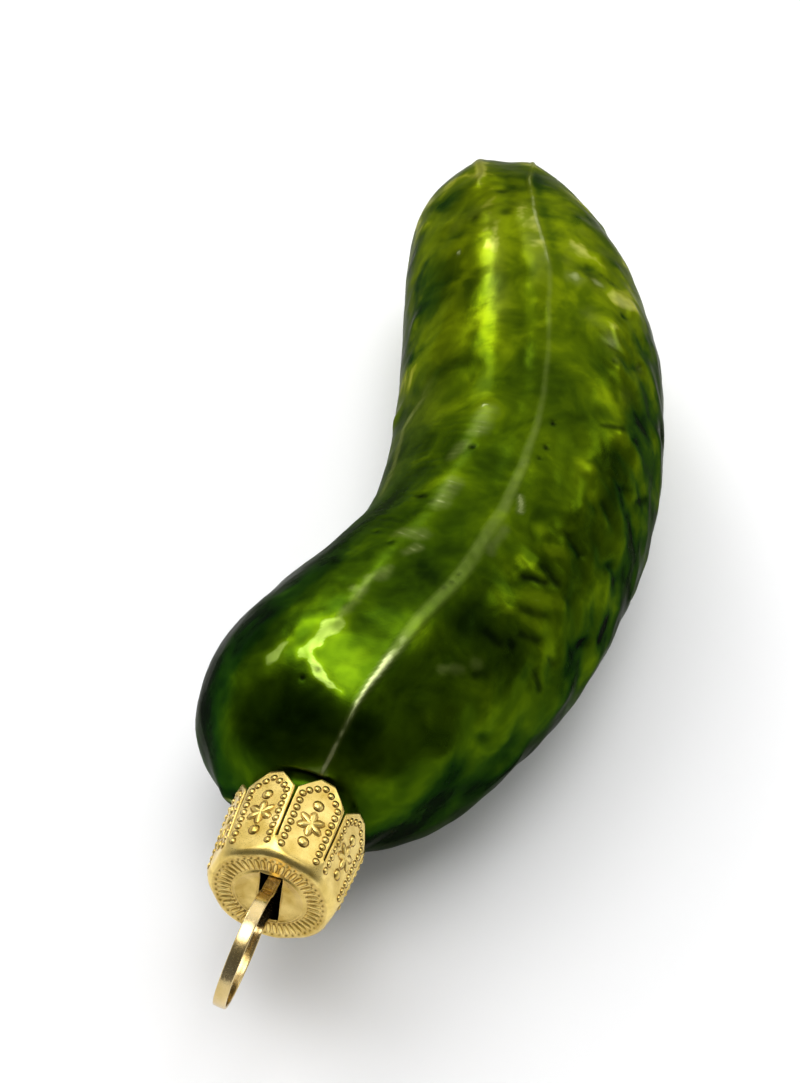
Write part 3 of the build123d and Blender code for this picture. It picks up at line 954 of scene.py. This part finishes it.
# The crown cap's own frame: x level, y down the end plate, z into the glass, origin on the end plate.
CAP_X = np.array([1.0, 0.0, 0.0])
CAP_Y = np.array([0.0, -TILT_SIN, -TILT_COS])
CAP_Z = -NECK_OUT
CAP_TURN = np.stack([CAP_X, CAP_Y, CAP_Z], 1)
SECTOR = 2 * math.pi / PETALS
COLUMNS = 23
PLATE_COLUMNS = 2 * COLUMNS * PETALS
PLATE_ROWS = 25
PLATE_CROWDING = 0.75
SHOULDER_ROUND = 0.8
SHOULDER_ROWS = 9
SIDE_ROWS = 18
POINT_ROWS = 8
# Each petal leans in or out a little at its point, from a height on.
PETAL_LEAN = [0.10, -0.12, 0.05, -0.05, 0.12, -0.02, 0.16, -0.10]
LEAN_START = 2.0
# The corners between the flat sides are cut round at this radius, less so away from the plate.
CORNER_RADIUS = 6.52
CORNER_GROWTH = 0.75
CORNER_BLEND = 0.18
# End plate: a dished middle disc with a bead round it, then a groove and a ring of small pits.
DISH_RADIUS = 2.6
DISH_DEPTH = 0.14
DISH_RISE = 0.10
BEAD_HEIGHT = 0.09
GROOVE_RADIUS = 3.86
GROOVE_DEPTH = 0.06
MIDDLE_RADIUS = 3.95
PIT_COUNT = 46
PIT_RADIUS = 5.5
PIT_DEPTH = 0.16
PIT_WIDTH = 0.15
OUTER_RADII = [4.1, 4.4, 4.7, 5.0, 5.15, 5.26, 5.34, 5.42, 5.5, 5.58, 5.66, 5.74]
PLATE_RADIUS = 5.9
# Painted shade on the end plate.
PLATE_TARNISH = 0.42


def cap_to_frame(points):
    """From the cap's own frame to the shared frame."""
    p = np.asarray(points, float)
    return PLATE + np.outer(p[:, 0], CAP_X) + np.outer(p[:, 1], CAP_Y) + np.outer(p[:, 2], CAP_Z)


def side_radius(height):
    """Distance from the axis to the middle of a flat side, by height above the end plate."""
    return CAP_RADIUS + PETAL_FLARE * height / CAP_HEIGHT


def wall_radius(theta, height):
    """Outer radius of the cap wall: eight flat sides with corners that are rounder near the plate."""
    number = math.floor(theta / SECTOR) % PETALS
    away = theta % SECTOR - SECTOR / 2
    lean = PETAL_LEAN[number] * max(height - LEAN_START, 0.0) ** 2 / (CAP_HEIGHT - LEAN_START) ** 2
    flat = (side_radius(height) + lean) / math.cos(away)
    limit = CORNER_RADIUS + CORNER_GROWTH * float(smooth_step(np.array(height), 0.2, 2.6))
    h = min(max(0.5 + 0.5 * (limit - flat) / CORNER_BLEND, 0.0), 1.0)
    return limit + (flat - limit) * h - CORNER_BLEND * h * (1.0 - h)


def slot_edge(theta):
    """Distance from the middle to the slot's edge along a direction in the end plate."""
    a = theta - math.radians(SLOT_TURN)
    wide = SLOT_WIDTH / 2 / max(abs(math.cos(a)), 1e-6)
    long = SLOT_LENGTH / 2 / max(abs(math.sin(a)), 1e-6)
    return min(wide, long)


def plate_depth(radius):
    """How far the end plate's outer face lies inside the cap's end, by radius."""
    dish = DISH_DEPTH * (1.0 - smooth_step(radius, DISH_RADIUS, DISC_RADIUS - 0.05))
    rise = DISH_RISE * (1.0 - min(radius / DISH_RADIUS, 1.0) ** 2)
    bead = ridge(radius - DISC_RADIUS - 0.02, BEAD_HEIGHT, width=0.13)
    groove = ridge(radius - GROOVE_RADIUS, GROOVE_DEPTH, width=0.12)
    return float(dish - rise - bead + groove)


def plate_angles():
    """Directions of the plate's columns, moved a little so that the slot's four corners are hit."""
    angles = np.arange(PLATE_COLUMNS) * 2 * math.pi / PLATE_COLUMNS
    corner = math.atan2(SLOT_LENGTH, SLOT_WIDTH)
    for base in (corner, math.pi - corner, math.pi + corner, 2 * math.pi - corner):
        target = (base + math.radians(SLOT_TURN)) % (2 * math.pi)
        angles[int(round(target / (2 * math.pi) * PLATE_COLUMNS)) % PLATE_COLUMNS] = target
    return angles


def cap_plate_rows():
    """Rows of points from the slot's edge to the rim of the end plate."""
    inner_shares = np.linspace(0.0, 1.0, PLATE_ROWS) ** PLATE_CROWDING
    exact = plate_angles()
    plain = np.arange(PLATE_COLUMNS) * 2 * math.pi / PLATE_COLUMNS
    pit_step = 2 * math.pi / PIT_COUNT
    rows = []
    for share in inner_shares:
        row = []
        for a in exact:
            edge = slot_edge(a)
            r = edge + (MIDDLE_RADIUS - edge) * share
            row.append((r * math.cos(a), r * math.sin(a), plate_depth(r)))
        rows.append(row)
    for r in OUTER_RADII:
        row = []
        for a in plain:
            off = ((a + pit_step / 2) % pit_step - pit_step / 2) * r
            pit = ridge(math.hypot(off, r - PIT_RADIUS), PIT_DEPTH, PIT_WIDTH)
            row.append((r * math.cos(a), r * math.sin(a), plate_depth(r) + pit))
        rows.append(row)
    return rows


def petal_gap(height):
    """Half the open width at a slit, by height above the end plate."""
    half = SLIT_WIDTH / 2
    if height <= SLIT_START - half:
        return 0.0
    if height < SLIT_START:
        return math.sqrt(max(half**2 - (SLIT_START - height) ** 2, 0.0))
    return half


def petal_half_width(height):
    face = side_radius(height) * math.tan(SECTOR / 2)
    if height <= PETAL_SHOULDER:
        return face - petal_gap(height)
    share = (height - PETAL_SHOULDER) / (CAP_HEIGHT - PETAL_SHOULDER)
    return (face - SLIT_WIDTH / 2) * (1 - share) + PETAL_TIP_WIDTH / 2 * share


def petal_point(number, across, height):
    """Point on the outside of a petal, from its place across the petal and its height."""
    middle = (number + 0.5) * SECTOR
    away = math.atan2(across, side_radius(height))
    away = min(max(away, -SECTOR / 2 + 1e-7), SECTOR / 2 - 1e-7)
    r = wall_radius(middle + away, height)
    return (r * math.cos(middle + away), r * math.sin(middle + away), height)


def petal_heights():
    """Heights of a petal's rows, with how far the round shoulder draws each row in."""
    heights = []
    for i in range(1, SHOULDER_ROWS + 1):
        a = math.pi / 2 * i / SHOULDER_ROWS
        heights.append((SHOULDER_ROUND * (1 - math.cos(a)), SHOULDER_ROUND * (1 - math.sin(a))))
    half = SLIT_WIDTH / 2
    plain = [1.1, 1.4, 1.7, SLIT_START - half]
    plain += [SLIT_START - half * math.cos(math.radians(a)) for a in (12, 25, 40, 60, 90)]
    for low, high, rows in ((SLIT_START, PETAL_SHOULDER, SIDE_ROWS),
                            (PETAL_SHOULDER, CAP_HEIGHT, POINT_ROWS)):
        plain += [low + (high - low) * i / rows for i in range(1, rows + 1)]
    return heights + [(height, 0.0) for height in plain]


def cap_sheet_mesh():
    """Outer face of the sheet: end plate, round shoulder and eight pointed petals."""
    plate_rows = cap_plate_rows()
    points = [point for row in plate_rows for point in row]
    faces = grid_faces(len(plate_rows), PLATE_COLUMNS)
    last = (len(plate_rows) - 1) * PLATE_COLUMNS
    heights = petal_heights()
    for number in range(PETALS):
        start = len(points)
        for h, inset in heights:
            wide = petal_half_width(h)
            for j in range(COLUMNS + 1):
                x, y, z = petal_point(number, wide * (2 * j / COLUMNS - 1), h)
                r = math.hypot(x, y)
                points.append((x * (1 - inset / r), y * (1 - inset / r), z))
        faces += [tuple(start + v for v in face)
                  for face in grid_faces(len(heights), COLUMNS + 1, wrap=False)]
        for j in range(COLUMNS):
            first = 2 * (number * COLUMNS + j)
            rim = [last + (first + i) % PLATE_COLUMNS for i in range(3)]
            faces.append((*rim, start + j + 1, start + j))
    return np.array(points), faces


def weld(points, faces, reach=0.002):
    """Joins points that fall together, and drops faces that close up."""
    keys = {}
    place = []
    kept = []
    for p in np.round(points / reach).astype(int):
        key = tuple(p)
        if key not in keys:
            keys[key] = len(kept)
            kept.append(len(place))
        place.append(keys[key])
    joined = []
    for face in faces:
        ring = [place[v] for v in face]
        ring = [v for i, v in enumerate(ring) if v != ring[i - 1]]
        if len(set(ring)) == len(ring) and len(ring) > 2:
            joined.append(tuple(ring))
    return points[kept], joined


def smooth_normals(points, faces):
    """Unit normals at the points, spread over their neighbours."""
    normal = np.zeros_like(points)
    for face in faces:
        ring = points[list(face)]
        normal[list(face)] += sum(np.cross(ring[i - 1], ring[i]) for i in range(len(ring)))
    for _ in range(3):
        spread = normal.copy()
        for face in faces:
            spread[list(face)] += normal[list(face)].mean(0)
        normal = spread
    return normal / np.linalg.norm(normal, axis=1, keepdims=True)


# Rounded edge of the sheet: how deep each row of it lies in the sheet, and how far it stands out.
EDGE_ROWS = ((0.15, 0.055), (0.5, 0.085), (0.85, 0.055))


def thicken(points, faces, thickness):
    """Closed sheet from its outer face: inner face along smooth normals, and rounded edges between."""
    normal = smooth_normals(points, faces)
    count = len(points)
    edges = {(face[i - 1], face[i]): True for face in faces for i in range(len(face))}
    border = [(a, b) for a, b in edges if (b, a) not in edges]
    out = np.zeros_like(points)
    for a, b in border:
        side = np.cross(points[b] - points[a], normal[a] + normal[b])
        side /= max(np.linalg.norm(side), 1e-9)
        out[a] += side
        out[b] += side
    rim = sorted({v for edge in border for v in edge})
    number = {v: i for i, v in enumerate(rim)}
    out_unit = out[rim] / np.maximum(np.linalg.norm(out[rim], axis=1, keepdims=True), 1e-9)
    all_points = [points, points - normal * thickness]
    loops = []
    for depth, push in EDGE_ROWS:
        loops.append(count * 2 + len(rim) * len(loops))
        all_points.append(points[rim] - normal[rim] * thickness * depth + out_unit * push)
    made = list(faces) + [tuple(count + v for v in reversed(face)) for face in faces]
    for a, b in border:
        chain_a = [a] + [base + number[a] for base in loops] + [count + a]
        chain_b = [b] + [base + number[b] for base in loops] + [count + b]
        for i in range(len(chain_a) - 1):
            made.append((chain_b[i], chain_a[i], chain_a[i + 1], chain_b[i + 1]))
    return np.vstack(all_points), made


def build_cap():
    """The whole cap, with its dished plate painted a little darker than the petals as painted shade."""
    points, faces = weld(*cap_sheet_mesh())
    points, faces = thicken(points, faces, CAP_SHEET)
    piece = new_object("embossed_cap", cap_to_frame(points), faces, [CAP_GOLD], smooth=50.0)
    on_plate = np.hypot(points[:, 0], points[:, 1]) < PLATE_RADIUS
    store_layer(piece, "shade", PLATE_TARNISH * on_plate * (1.0 - smooth_step(points[:, 2], 0.5, 1.2)))
    return piece


cap = build_cap()
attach(cap, "cap")
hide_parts("crown_cap")


# Marks pressed into the cap. Each has a thin wider foot that the gold's material paints dark as painted
# shade round the mark.
FOOT_WIDTH = 0.11
FOOT_THICKNESS = 0.07
BAR_FOOT_SCALE = (1.45, 1.12, 0.12)
BEAD_INSET = 0.62
BEAD_START = 1.45
DOT_HEIGHTS = (2.75, 7.25)
STAR_HEIGHT = 5.0
RIB_COUNT = 46
RIB_RADIUS = 4.62
NUMBER = "NodeSocketFloat"
METAL_INPUT = ("Metal", "NodeSocketMaterial", None)
ROUND_INPUTS = [("Radius", NUMBER, 0.5 * MM), ("Flatness", NUMBER, 0.5), METAL_INPUT]
BAR_INPUTS = [
    ("Bar Start", NUMBER, 0.0), ("Bar End", NUMBER, 1.0 * MM), ("Bar Width", NUMBER, 0.2 * MM),
    ("Flatness", NUMBER, 0.6), METAL_INPUT]


def surface_frame(number, across, height):
    """Point on a petal with the directions out of it and along it, all in the shared frame."""
    step = 0.02
    here = np.array(petal_point(number, across, height))
    side = np.array(petal_point(number, across + step, height)) - here
    rise = np.array(petal_point(number, across, height + step)) - here
    facing = unit(np.cross(side, rise))
    if facing[0] * here[0] + facing[1] * here[1] < 0:
        facing = -facing
    return cap_to_frame([here])[0], CAP_TURN @ facing, CAP_TURN @ unit(rise)


def guide_mesh(name, frames, edges=()):
    """Points with their directions, as a start for a Geometry Nodes tree."""
    mesh = bpy.data.meshes.new(name)
    mesh.from_pydata([tuple(f[0] * MM) for f in frames], edges, [])
    mesh.materials.append(CAP_GOLD)
    for index, key in ((1, "facing"), (2, "along")):
        layer = mesh.attributes.new(key, "FLOAT_VECTOR", "POINT")
        layer.data.foreach_set("vector", np.array([f[index] for f in frames], np.float32).ravel())
    piece = bpy.data.objects.new(name, mesh)
    bpy.context.scene.collection.objects.link(piece)
    return piece


def new_geometry_tree(name, inputs):
    """Empty Geometry Nodes tree with named inputs; gives the tree, its helper, and its two end nodes."""
    tree = bpy.data.node_groups.new(name, "GeometryNodeTree")
    tree.interface.new_socket(name="Geometry", in_out="INPUT", socket_type="NodeSocketGeometry")
    for label, kind, value in inputs:
        made = tree.interface.new_socket(name=label, in_out="INPUT", socket_type=kind)
        if value is not None:
            made.default_value = value
    tree.interface.new_socket(name="Geometry", in_out="OUTPUT", socket_type="NodeSocketGeometry")
    t = Tree(tree)
    return tree, t, t.node("NodeGroupInput"), t.node("NodeGroupOutput")


def place_marks(t, start, end, points, mark):
    """Common end of the trees: marks turned to the surface, realized, with their material."""
    facing = t.node("GeometryNodeInputNamedAttribute", {"Name": "facing"}, data_type="FLOAT_VECTOR")
    along = t.node("GeometryNodeInputNamedAttribute", {"Name": "along"}, data_type="FLOAT_VECTOR")
    turn = t.node("FunctionNodeAxesToRotation", {
        0: facing.outputs[0], 1: along.outputs[0]}, primary_axis="Z", secondary_axis="Y")
    copies = t.node("GeometryNodeInstanceOnPoints", {
        "Points": points, "Instance": mark, "Rotation": turn.outputs[0]})
    real = t.node("GeometryNodeRealizeInstances", {"Geometry": copies.outputs[0]})
    smooth = t.node("GeometryNodeSetShadeSmooth", {"Geometry": real.outputs[0], "Shade Smooth": True})
    finish = t.node("GeometryNodeSetMaterial", {
        "Geometry": smooth.outputs[0], "Material": start.outputs["Metal"]})
    t.link(finish.outputs[0], end.inputs["Geometry"])


def flattened(t, start, mesh):
    """Mesh pressed flat by the tree's own flatness."""
    low = t.combine(X=1.0, Y=1.0, Z=start.outputs["Flatness"])
    return t.node("GeometryNodeTransform", {"Geometry": mesh, "Scale": low}).outputs[0]


def with_foot(t, mark, foot):
    """Joins a mark with its foot, marked for painted shade."""
    shaded = t.node("GeometryNodeStoreNamedAttribute", {
        "Geometry": foot, "Name": "shade", "Value": 1.0}, data_type="FLOAT", domain="POINT")
    both = t.node("GeometryNodeJoinGeometry")
    t.link(mark, both.inputs[0])
    t.link(shaded.outputs[0], both.inputs[0])
    return both.outputs[0]


def round_mark(t, start):
    """Low dome on its foot, with a few dozen faces."""
    radius = start.outputs["Radius"]
    ball = t.node("GeometryNodeMeshUVSphere", {"Segments": 12, "Rings": 6, "Radius": radius})
    foot = t.node("GeometryNodeMeshCylinder", {
        "Vertices": 12, "Radius": t.math("ADD", radius, FOOT_WIDTH * MM), "Depth": FOOT_THICKNESS * MM})
    return with_foot(t, flattened(t, start, ball.outputs["Mesh"]), foot.outputs["Mesh"])


def bead_row_tree():
    """Beads at an even pitch along every guide line."""
    tree, t, start, end = new_geometry_tree("bead_row", [("Pitch", NUMBER, 0.9 * MM)] + ROUND_INPUTS)
    lines = t.node("GeometryNodeMeshToCurve", {"Mesh": start.outputs["Geometry"]})
    even = t.node("GeometryNodeResampleCurve", {
        "Curve": lines.outputs[0], "Length": start.outputs["Pitch"]}, mode="LENGTH")
    place_marks(t, start, end, even.outputs[0], round_mark(t, start))
    return tree


def round_dot_tree():
    """One low dome on every guide point."""
    tree, t, start, end = new_geometry_tree("round_dot", ROUND_INPUTS)
    place_marks(t, start, end, start.outputs["Geometry"], round_mark(t, start))
    return tree


def tapered_bar(t, start, shares):
    """Bar along Y whose thickness goes by the given shares from its start to its end."""
    line = t.node("GeometryNodeCurvePrimitiveLine", {
        "Start": t.combine(Y=start.outputs["Bar Start"]), "End": t.combine(Y=start.outputs["Bar End"])})
    points = t.node("GeometryNodeResampleCurve", {
        "Curve": line.outputs[0], "Count": len(shares)}, mode="COUNT")
    along = t.node("GeometryNodeSplineParameter")
    shape = t.node("ShaderNodeFloatCurve", {"Value": along.outputs["Factor"]})
    curve = shape.mapping.curves[0]
    curve.points[0].location = (0.0, shares[0])
    curve.points[1].location = (1.0, shares[-1])
    for i, share in enumerate(shares[1:-1], start=1):
        curve.points.new(i / (len(shares) - 1), share)
    for point in curve.points:
        point.handle_type = "VECTOR"
    shape.mapping.update()
    ring = t.node("GeometryNodeCurvePrimitiveCircle", {
        "Resolution": 8, "Radius": start.outputs["Bar Width"]})
    bar = t.node("GeometryNodeCurveToMesh", {
        "Curve": points.outputs[0], "Profile Curve": ring.outputs[0], "Scale": shape.outputs[0],
        "Fill Caps": True})
    foot = t.node("GeometryNodeTransform", {"Geometry": bar.outputs[0], "Scale": BAR_FOOT_SCALE})
    return with_foot(t, flattened(t, start, bar.outputs[0]), foot.outputs[0])


def rib_ring_tree():
    """One bar on every guide point, lying along the point's own direction."""
    tree, t, start, end = new_geometry_tree("rib_ring", BAR_INPUTS)
    rib = tapered_bar(t, start, [0.55, 1.0, 1.0, 1.0, 0.55])
    place_marks(t, start, end, start.outputs["Geometry"], rib)
    return tree


def star_tree():
    """Six-ray star on every guide point: tapered rays set round the middle."""
    tree, t, start, end = new_geometry_tree("six_ray_star", BAR_INPUTS + [("Rays", "NodeSocketInt", 6)])
    ray = tapered_bar(t, start, [0.9, 0.8, 1.0, 0.9, 0.4])
    middle = t.node("GeometryNodeMeshCircle", {"Vertices": start.outputs["Rays"], "Radius": 0.0001 * MM})
    index = t.node("GeometryNodeInputIndex")
    step = t.math("MULTIPLY", index.outputs[0], t.math("DIVIDE", 2 * math.pi, start.outputs["Rays"]))
    turn = t.node("FunctionNodeEulerToRotation", {0: t.combine(Z=step)})
    rays = t.node("GeometryNodeInstanceOnPoints", {
        "Points": middle.outputs[0], "Instance": ray, "Rotation": turn.outputs[0]})
    star = t.node("GeometryNodeRealizeInstances", {"Geometry": rays.outputs[0]})
    place_marks(t, start, end, start.outputs["Geometry"], star.outputs[0])
    return tree


def make_marks(guide, tree, settings):
    """Puts a tree on a guide, bakes it to a plain mesh and hands it to the cap."""
    modifier = guide.modifiers.new("marks", "NODES")
    modifier.node_group = tree
    names = {item.name: item.identifier for item in tree.interface.items_tree if item.in_out == "INPUT"}
    for label, value in settings.items():
        modifier[names[label]] = value
    modifier[names["Metal"]] = CAP_GOLD
    guide.update_tag()
    bake(guide)
    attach(guide, "cap")


def bead_guides():
    """One line a petal: up one side, over the point and down the other side."""
    frames = []
    edges = []
    side = petal_half_width(STAR_HEIGHT) - BEAD_INSET
    shoulder = (side + 0.05, PETAL_SHOULDER - 0.35)
    point = (0.2, CAP_HEIGHT - 0.85)
    right = [point, shoulder, (side, BEAD_START)]
    corners = [(-x, h) for x, h in reversed(right)] + right
    steps = 8
    for number in range(PETALS):
        first = len(frames)
        for (x0, h0), (x1, h1) in zip(corners, corners[1:]):
            for i in range(steps):
                frames.append(surface_frame(number, x0 + (x1 - x0) * i / steps, h0 + (h1 - h0) * i / steps))
        frames.append(surface_frame(number, *corners[-1]))
        edges += [(i, i + 1) for i in range(first, len(frames) - 1)]
    return frames, edges


def rib_guides():
    """Points at the middle of the end plate's ribs, each lying outwards."""
    frames = []
    for i in range(RIB_COUNT):
        a = 2 * math.pi * (i + 0.5) / RIB_COUNT
        out = np.array([math.cos(a), math.sin(a), 0.0])
        frames.append((cap_to_frame([out * RIB_RADIUS])[0], NECK_OUT, CAP_TURN @ out))
    return frames


dot_guides = [surface_frame(number, 0.0, height) for number in range(PETALS) for height in DOT_HEIGHTS]
star_guides = [surface_frame(number, 0.0, STAR_HEIGHT) for number in range(PETALS)]
make_marks(guide_mesh("petal_beads", *bead_guides()), bead_row_tree(), {
    "Pitch": 0.88 * MM, "Radius": 0.29 * MM, "Flatness": 0.62})
make_marks(guide_mesh("petal_dots", dot_guides), round_dot_tree(), {
    "Radius": 0.52 * MM, "Flatness": 0.5})
make_marks(guide_mesh("petal_stars", star_guides), star_tree(), {
    "Bar Start": 0.0, "Bar End": 1.35 * MM, "Bar Width": 0.34 * MM, "Flatness": 0.6, "Rays": 6})
make_marks(guide_mesh("plate_ribs", rib_guides()), rib_ring_tree(), {
    "Bar Start": -0.62 * MM, "Bar End": 0.62 * MM, "Bar Width": 0.165 * MM, "Flatness": 0.9})


# Ribbon hanger: a flat strip bent to a ring with two legs that go down through the slot.
PLATE_UP = -CAP_Y
turn_cos = math.cos(math.radians(HANGER_TURN))
turn_sin = math.sin(math.radians(HANGER_TURN))
lean_cos = math.cos(math.radians(HANGER_LEAN))
lean_sin = math.sin(math.radians(HANGER_LEAN))
HANGER_ACROSS = CAP_X * turn_sin + PLATE_UP * turn_cos
HANGER_SIDE = CAP_X * turn_cos - PLATE_UP * turn_sin
HANGER_OUT = NECK_OUT * lean_cos - HANGER_SIDE * lean_sin
HANGER_FLAT = np.cross(HANGER_ACROSS, HANGER_OUT)
SLOT_CENTRE = PLATE - NECK_OUT * CAP_SHEET / 2
STRIP_EDGE_ROUND = 0.13
STRIP_CROWN = 0.03
FLARE_POINTS = 9
LEG_POINTS = 4
ROOT_POINTS = 8
RING_POINTS = 46


def arc_points(centre, radius, start, sweep, count):
    """Points along an arc without its first one."""
    steps = np.radians(start + sweep * np.arange(1, count + 1) / count)
    return [(centre[0] + radius * math.cos(a), centre[1] + radius * math.sin(a)) for a in steps]


def ribbon_path():
    """Middle line of the strip in the hanger's own plane, from one foot to the other."""
    rise = math.sqrt((RING_RADIUS + RING_ROOT) ** 2 - (LEG_SPAN + RING_ROOT) ** 2)
    root = math.degrees(math.atan2(rise, LEG_SPAN + RING_ROOT))
    shift = FOOT_SPAN - LEG_SPAN
    drop = LEG_DEPTH - LEG_STRAIGHT
    flare = (shift**2 + drop**2) / (2 * shift)
    half = []
    for a in np.linspace(math.asin(drop / flare), 0, FLARE_POINTS):
        half.append((LEG_SPAN + flare * (1 - math.cos(a)), -LEG_STRAIGHT - flare * math.sin(a)))
    for i in range(1, LEG_POINTS + 1):
        half.append((LEG_SPAN, -LEG_STRAIGHT + (RING_STAND + LEG_STRAIGHT) * i / LEG_POINTS))
    half += arc_points((LEG_SPAN + RING_ROOT, RING_STAND), RING_ROOT, 180, -root, ROOT_POINTS)
    half += arc_points((0, RING_STAND + rise), RING_RADIUS, -root, 90 + root, RING_POINTS)
    return half + [(-x, y) for x, y in half[-2::-1]]


def strip_profile():
    """Rounded strip with slightly crowned faces: (across its thickness, across its width)."""
    thick = STRIP_THICKNESS / 2
    wide = STRIP_WIDTH / 2
    corner = (thick - STRIP_EDGE_ROUND - STRIP_CROWN, wide - STRIP_EDGE_ROUND)
    outline = []
    for cx, cy, start in ((1, 1, 0), (-1, 1, 90), (-1, -1, 180), (1, -1, 270)):
        for i in range(5):
            a = math.radians(start + 90 * i / 4)
            outline.append((cx * corner[0] + STRIP_EDGE_ROUND * math.cos(a),
                            cy * corner[1] + STRIP_EDGE_ROUND * math.sin(a)))
        if start in (90, 270):
            for share in (0.5, 0.0, -0.5):
                outline.append((cx * (thick - STRIP_CROWN * share**2 * 2), cy * share * wide))
    return outline


def build_hanger():
    path = np.array(ribbon_path())
    ahead = np.gradient(path, axis=0)
    ahead /= np.linalg.norm(ahead, axis=1, keepdims=True)
    right = np.stack([ahead[:, 1], -ahead[:, 0]], 1)
    profile = strip_profile()
    points = []
    for place, side in zip(path, right):
        for thick, wide in profile:
            u, v = place + side * thick
            points.append(SLOT_CENTRE + HANGER_ACROSS * u + HANGER_OUT * v + HANGER_FLAT * wide)
    count = len(profile)
    faces = grid_faces(len(path), count)
    faces.append(tuple(range(count - 1, -1, -1)))
    base = (len(path) - 1) * count
    faces.append(tuple(base + i for i in range(count)))
    return new_object("ribbon_ring", points, faces, [RIBBON_GOLD], smooth=50.0)


hanger = build_hanger()
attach(hanger, "hanger")
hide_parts("ribbon_hanger")


# Studio: a pale table, soft light from above, two windows behind, and the photograph's camera.
WHITE = (1.0, 1.0, 1.0, 1.0)
FLOOR_HALF = 900.0
FLOOR_GLOW = 0.05
ROOM_LEVEL = 0.46
VIEWER_LEVEL = 0.11
CEILING_LEVEL = 5.0
SIDE_LEVEL = 3.2
BACK_LEVEL = 0.9
LAMP_TARGET = Vector((0.0, 0.0, BODY_RADIUS * MM))
SENSOR_WIDTH = 36.0
FOCAL_PIXELS = 1800
PHOTO_PIXELS = 800
CAMERA_FROM_DOME = (34.8246, -102.2392, 163.69)
CAMERA_AHEAD = (-0.16945, 0.60608, -0.7771)


def floor_material():
    """Pale table that stays near white for the camera and in reflections, and keeps the shadow."""
    material, t, shader = new_material("pale_table")
    place = t.node("ShaderNodeTexCoord")
    cloud = t.node("ShaderNodeTexNoise", {"Vector": place.outputs["Object"], "Scale": 9.0, "Detail": 2.0})
    path = t.node("ShaderNodeLightPath").outputs
    seen = t.math("MAXIMUM", path["Is Camera Ray"], path["Is Glossy Ray"])
    seen = t.math("MAXIMUM", seen, path["Is Transmission Ray"])
    t.fill(shader, {
        "Base Color": t.ramp(cloud.outputs["Fac"], [(0.3, (0.85, 0.85, 0.855)), (0.7, (0.88, 0.88, 0.885))]),
        "Roughness": 0.55,
        "Specular IOR Level": 0.2,
        "Emission Color": WHITE,
        "Emission Strength": t.math("MULTIPLY", seen, FLOOR_GLOW),
    })
    return material


def build_floor():
    corners = [(x * FLOOR_HALF, y * FLOOR_HALF, 0) for x, y in ((-1, -1), (1, -1), (1, 1), (-1, 1))]
    piece = new_object("table_floor", corners, [(0, 1, 2, 3)], [floor_material()], smooth=0)


def soft_light(name, direction, distance, size, power):
    """Large soft lamp that shines on the pickle's middle from a direction."""
    lamp = bpy.data.lights.new(name, "AREA")
    lamp.shape = "ELLIPSE"
    lamp.size = size
    lamp.size_y = size
    lamp.energy = power
    holder = bpy.data.objects.new(name, lamp)
    toward = Vector(direction).normalized()
    holder.location = LAMP_TARGET + toward * distance
    holder.rotation_euler = toward.to_track_quat("Z", "Y").to_euler()
    bpy.context.scene.collection.objects.link(holder)


def build_world():
    """Soft grey room with a glowing ceiling, darker on the side where the viewer stands."""
    world = bpy.data.worlds.new("studio")
    bpy.context.scene.world = world
    world.use_nodes = True
    t = Tree(world.node_tree)
    place = t.node("ShaderNodeTexCoord")

    def patch(direction, low, high, outside, inside):
        near = t.node("ShaderNodeVectorMath", {
            0: place.outputs["Generated"], 1: direction}, operation="DOT_PRODUCT")
        return t.span(near.outputs["Value"], low, high, outside, inside, interpolation_type="SMOOTHSTEP")

    level = patch((-0.05, -0.83, 0.55), 0.18, 0.85, ROOM_LEVEL, VIEWER_LEVEL)
    for direction, low, high, inside in (
            ((0.08, 0.12, 0.99), 0.92, 0.985, CEILING_LEVEL),
            ((-0.50, 0.22, 0.84), 0.925, 0.985, SIDE_LEVEL),
            ((0.12, 0.88, 0.46), 0.84, 0.97, BACK_LEVEL)):
        level = t.math("ADD", level, patch(direction, low, high, 0.0, inside))
    t.fill(world.node_tree.nodes["Background"], {"Color": WHITE, "Strength": level})


def build_camera():
    """Camera at the photograph's place and with its angle of view."""
    data = bpy.data.cameras.new("camera")
    data.sensor_fit = "HORIZONTAL"
    data.sensor_width = SENSOR_WIDTH
    data.lens = SENSOR_WIDTH * FOCAL_PIXELS / PHOTO_PIXELS
    data.clip_start = 0.005
    camera = bpy.data.objects.new("camera", data)
    camera.location = (DOME + np.array(CAMERA_FROM_DOME)) * MM
    camera.rotation_euler = Vector(CAMERA_AHEAD).to_track_quat("-Z", "Y").to_euler()
    bpy.context.scene.collection.objects.link(camera)
    bpy.context.scene.camera = camera


build_floor()
build_world()
soft_light("back_left_window", (-0.55, 0.62, 0.56), distance=0.6, size=0.17, power=0.62)
soft_light("back_right_window", (0.63, 0.6, 0.5), distance=0.7, size=0.24, power=0.36)
build_camera()
bpy.context.scene.view_settings.view_transform = "Standard"
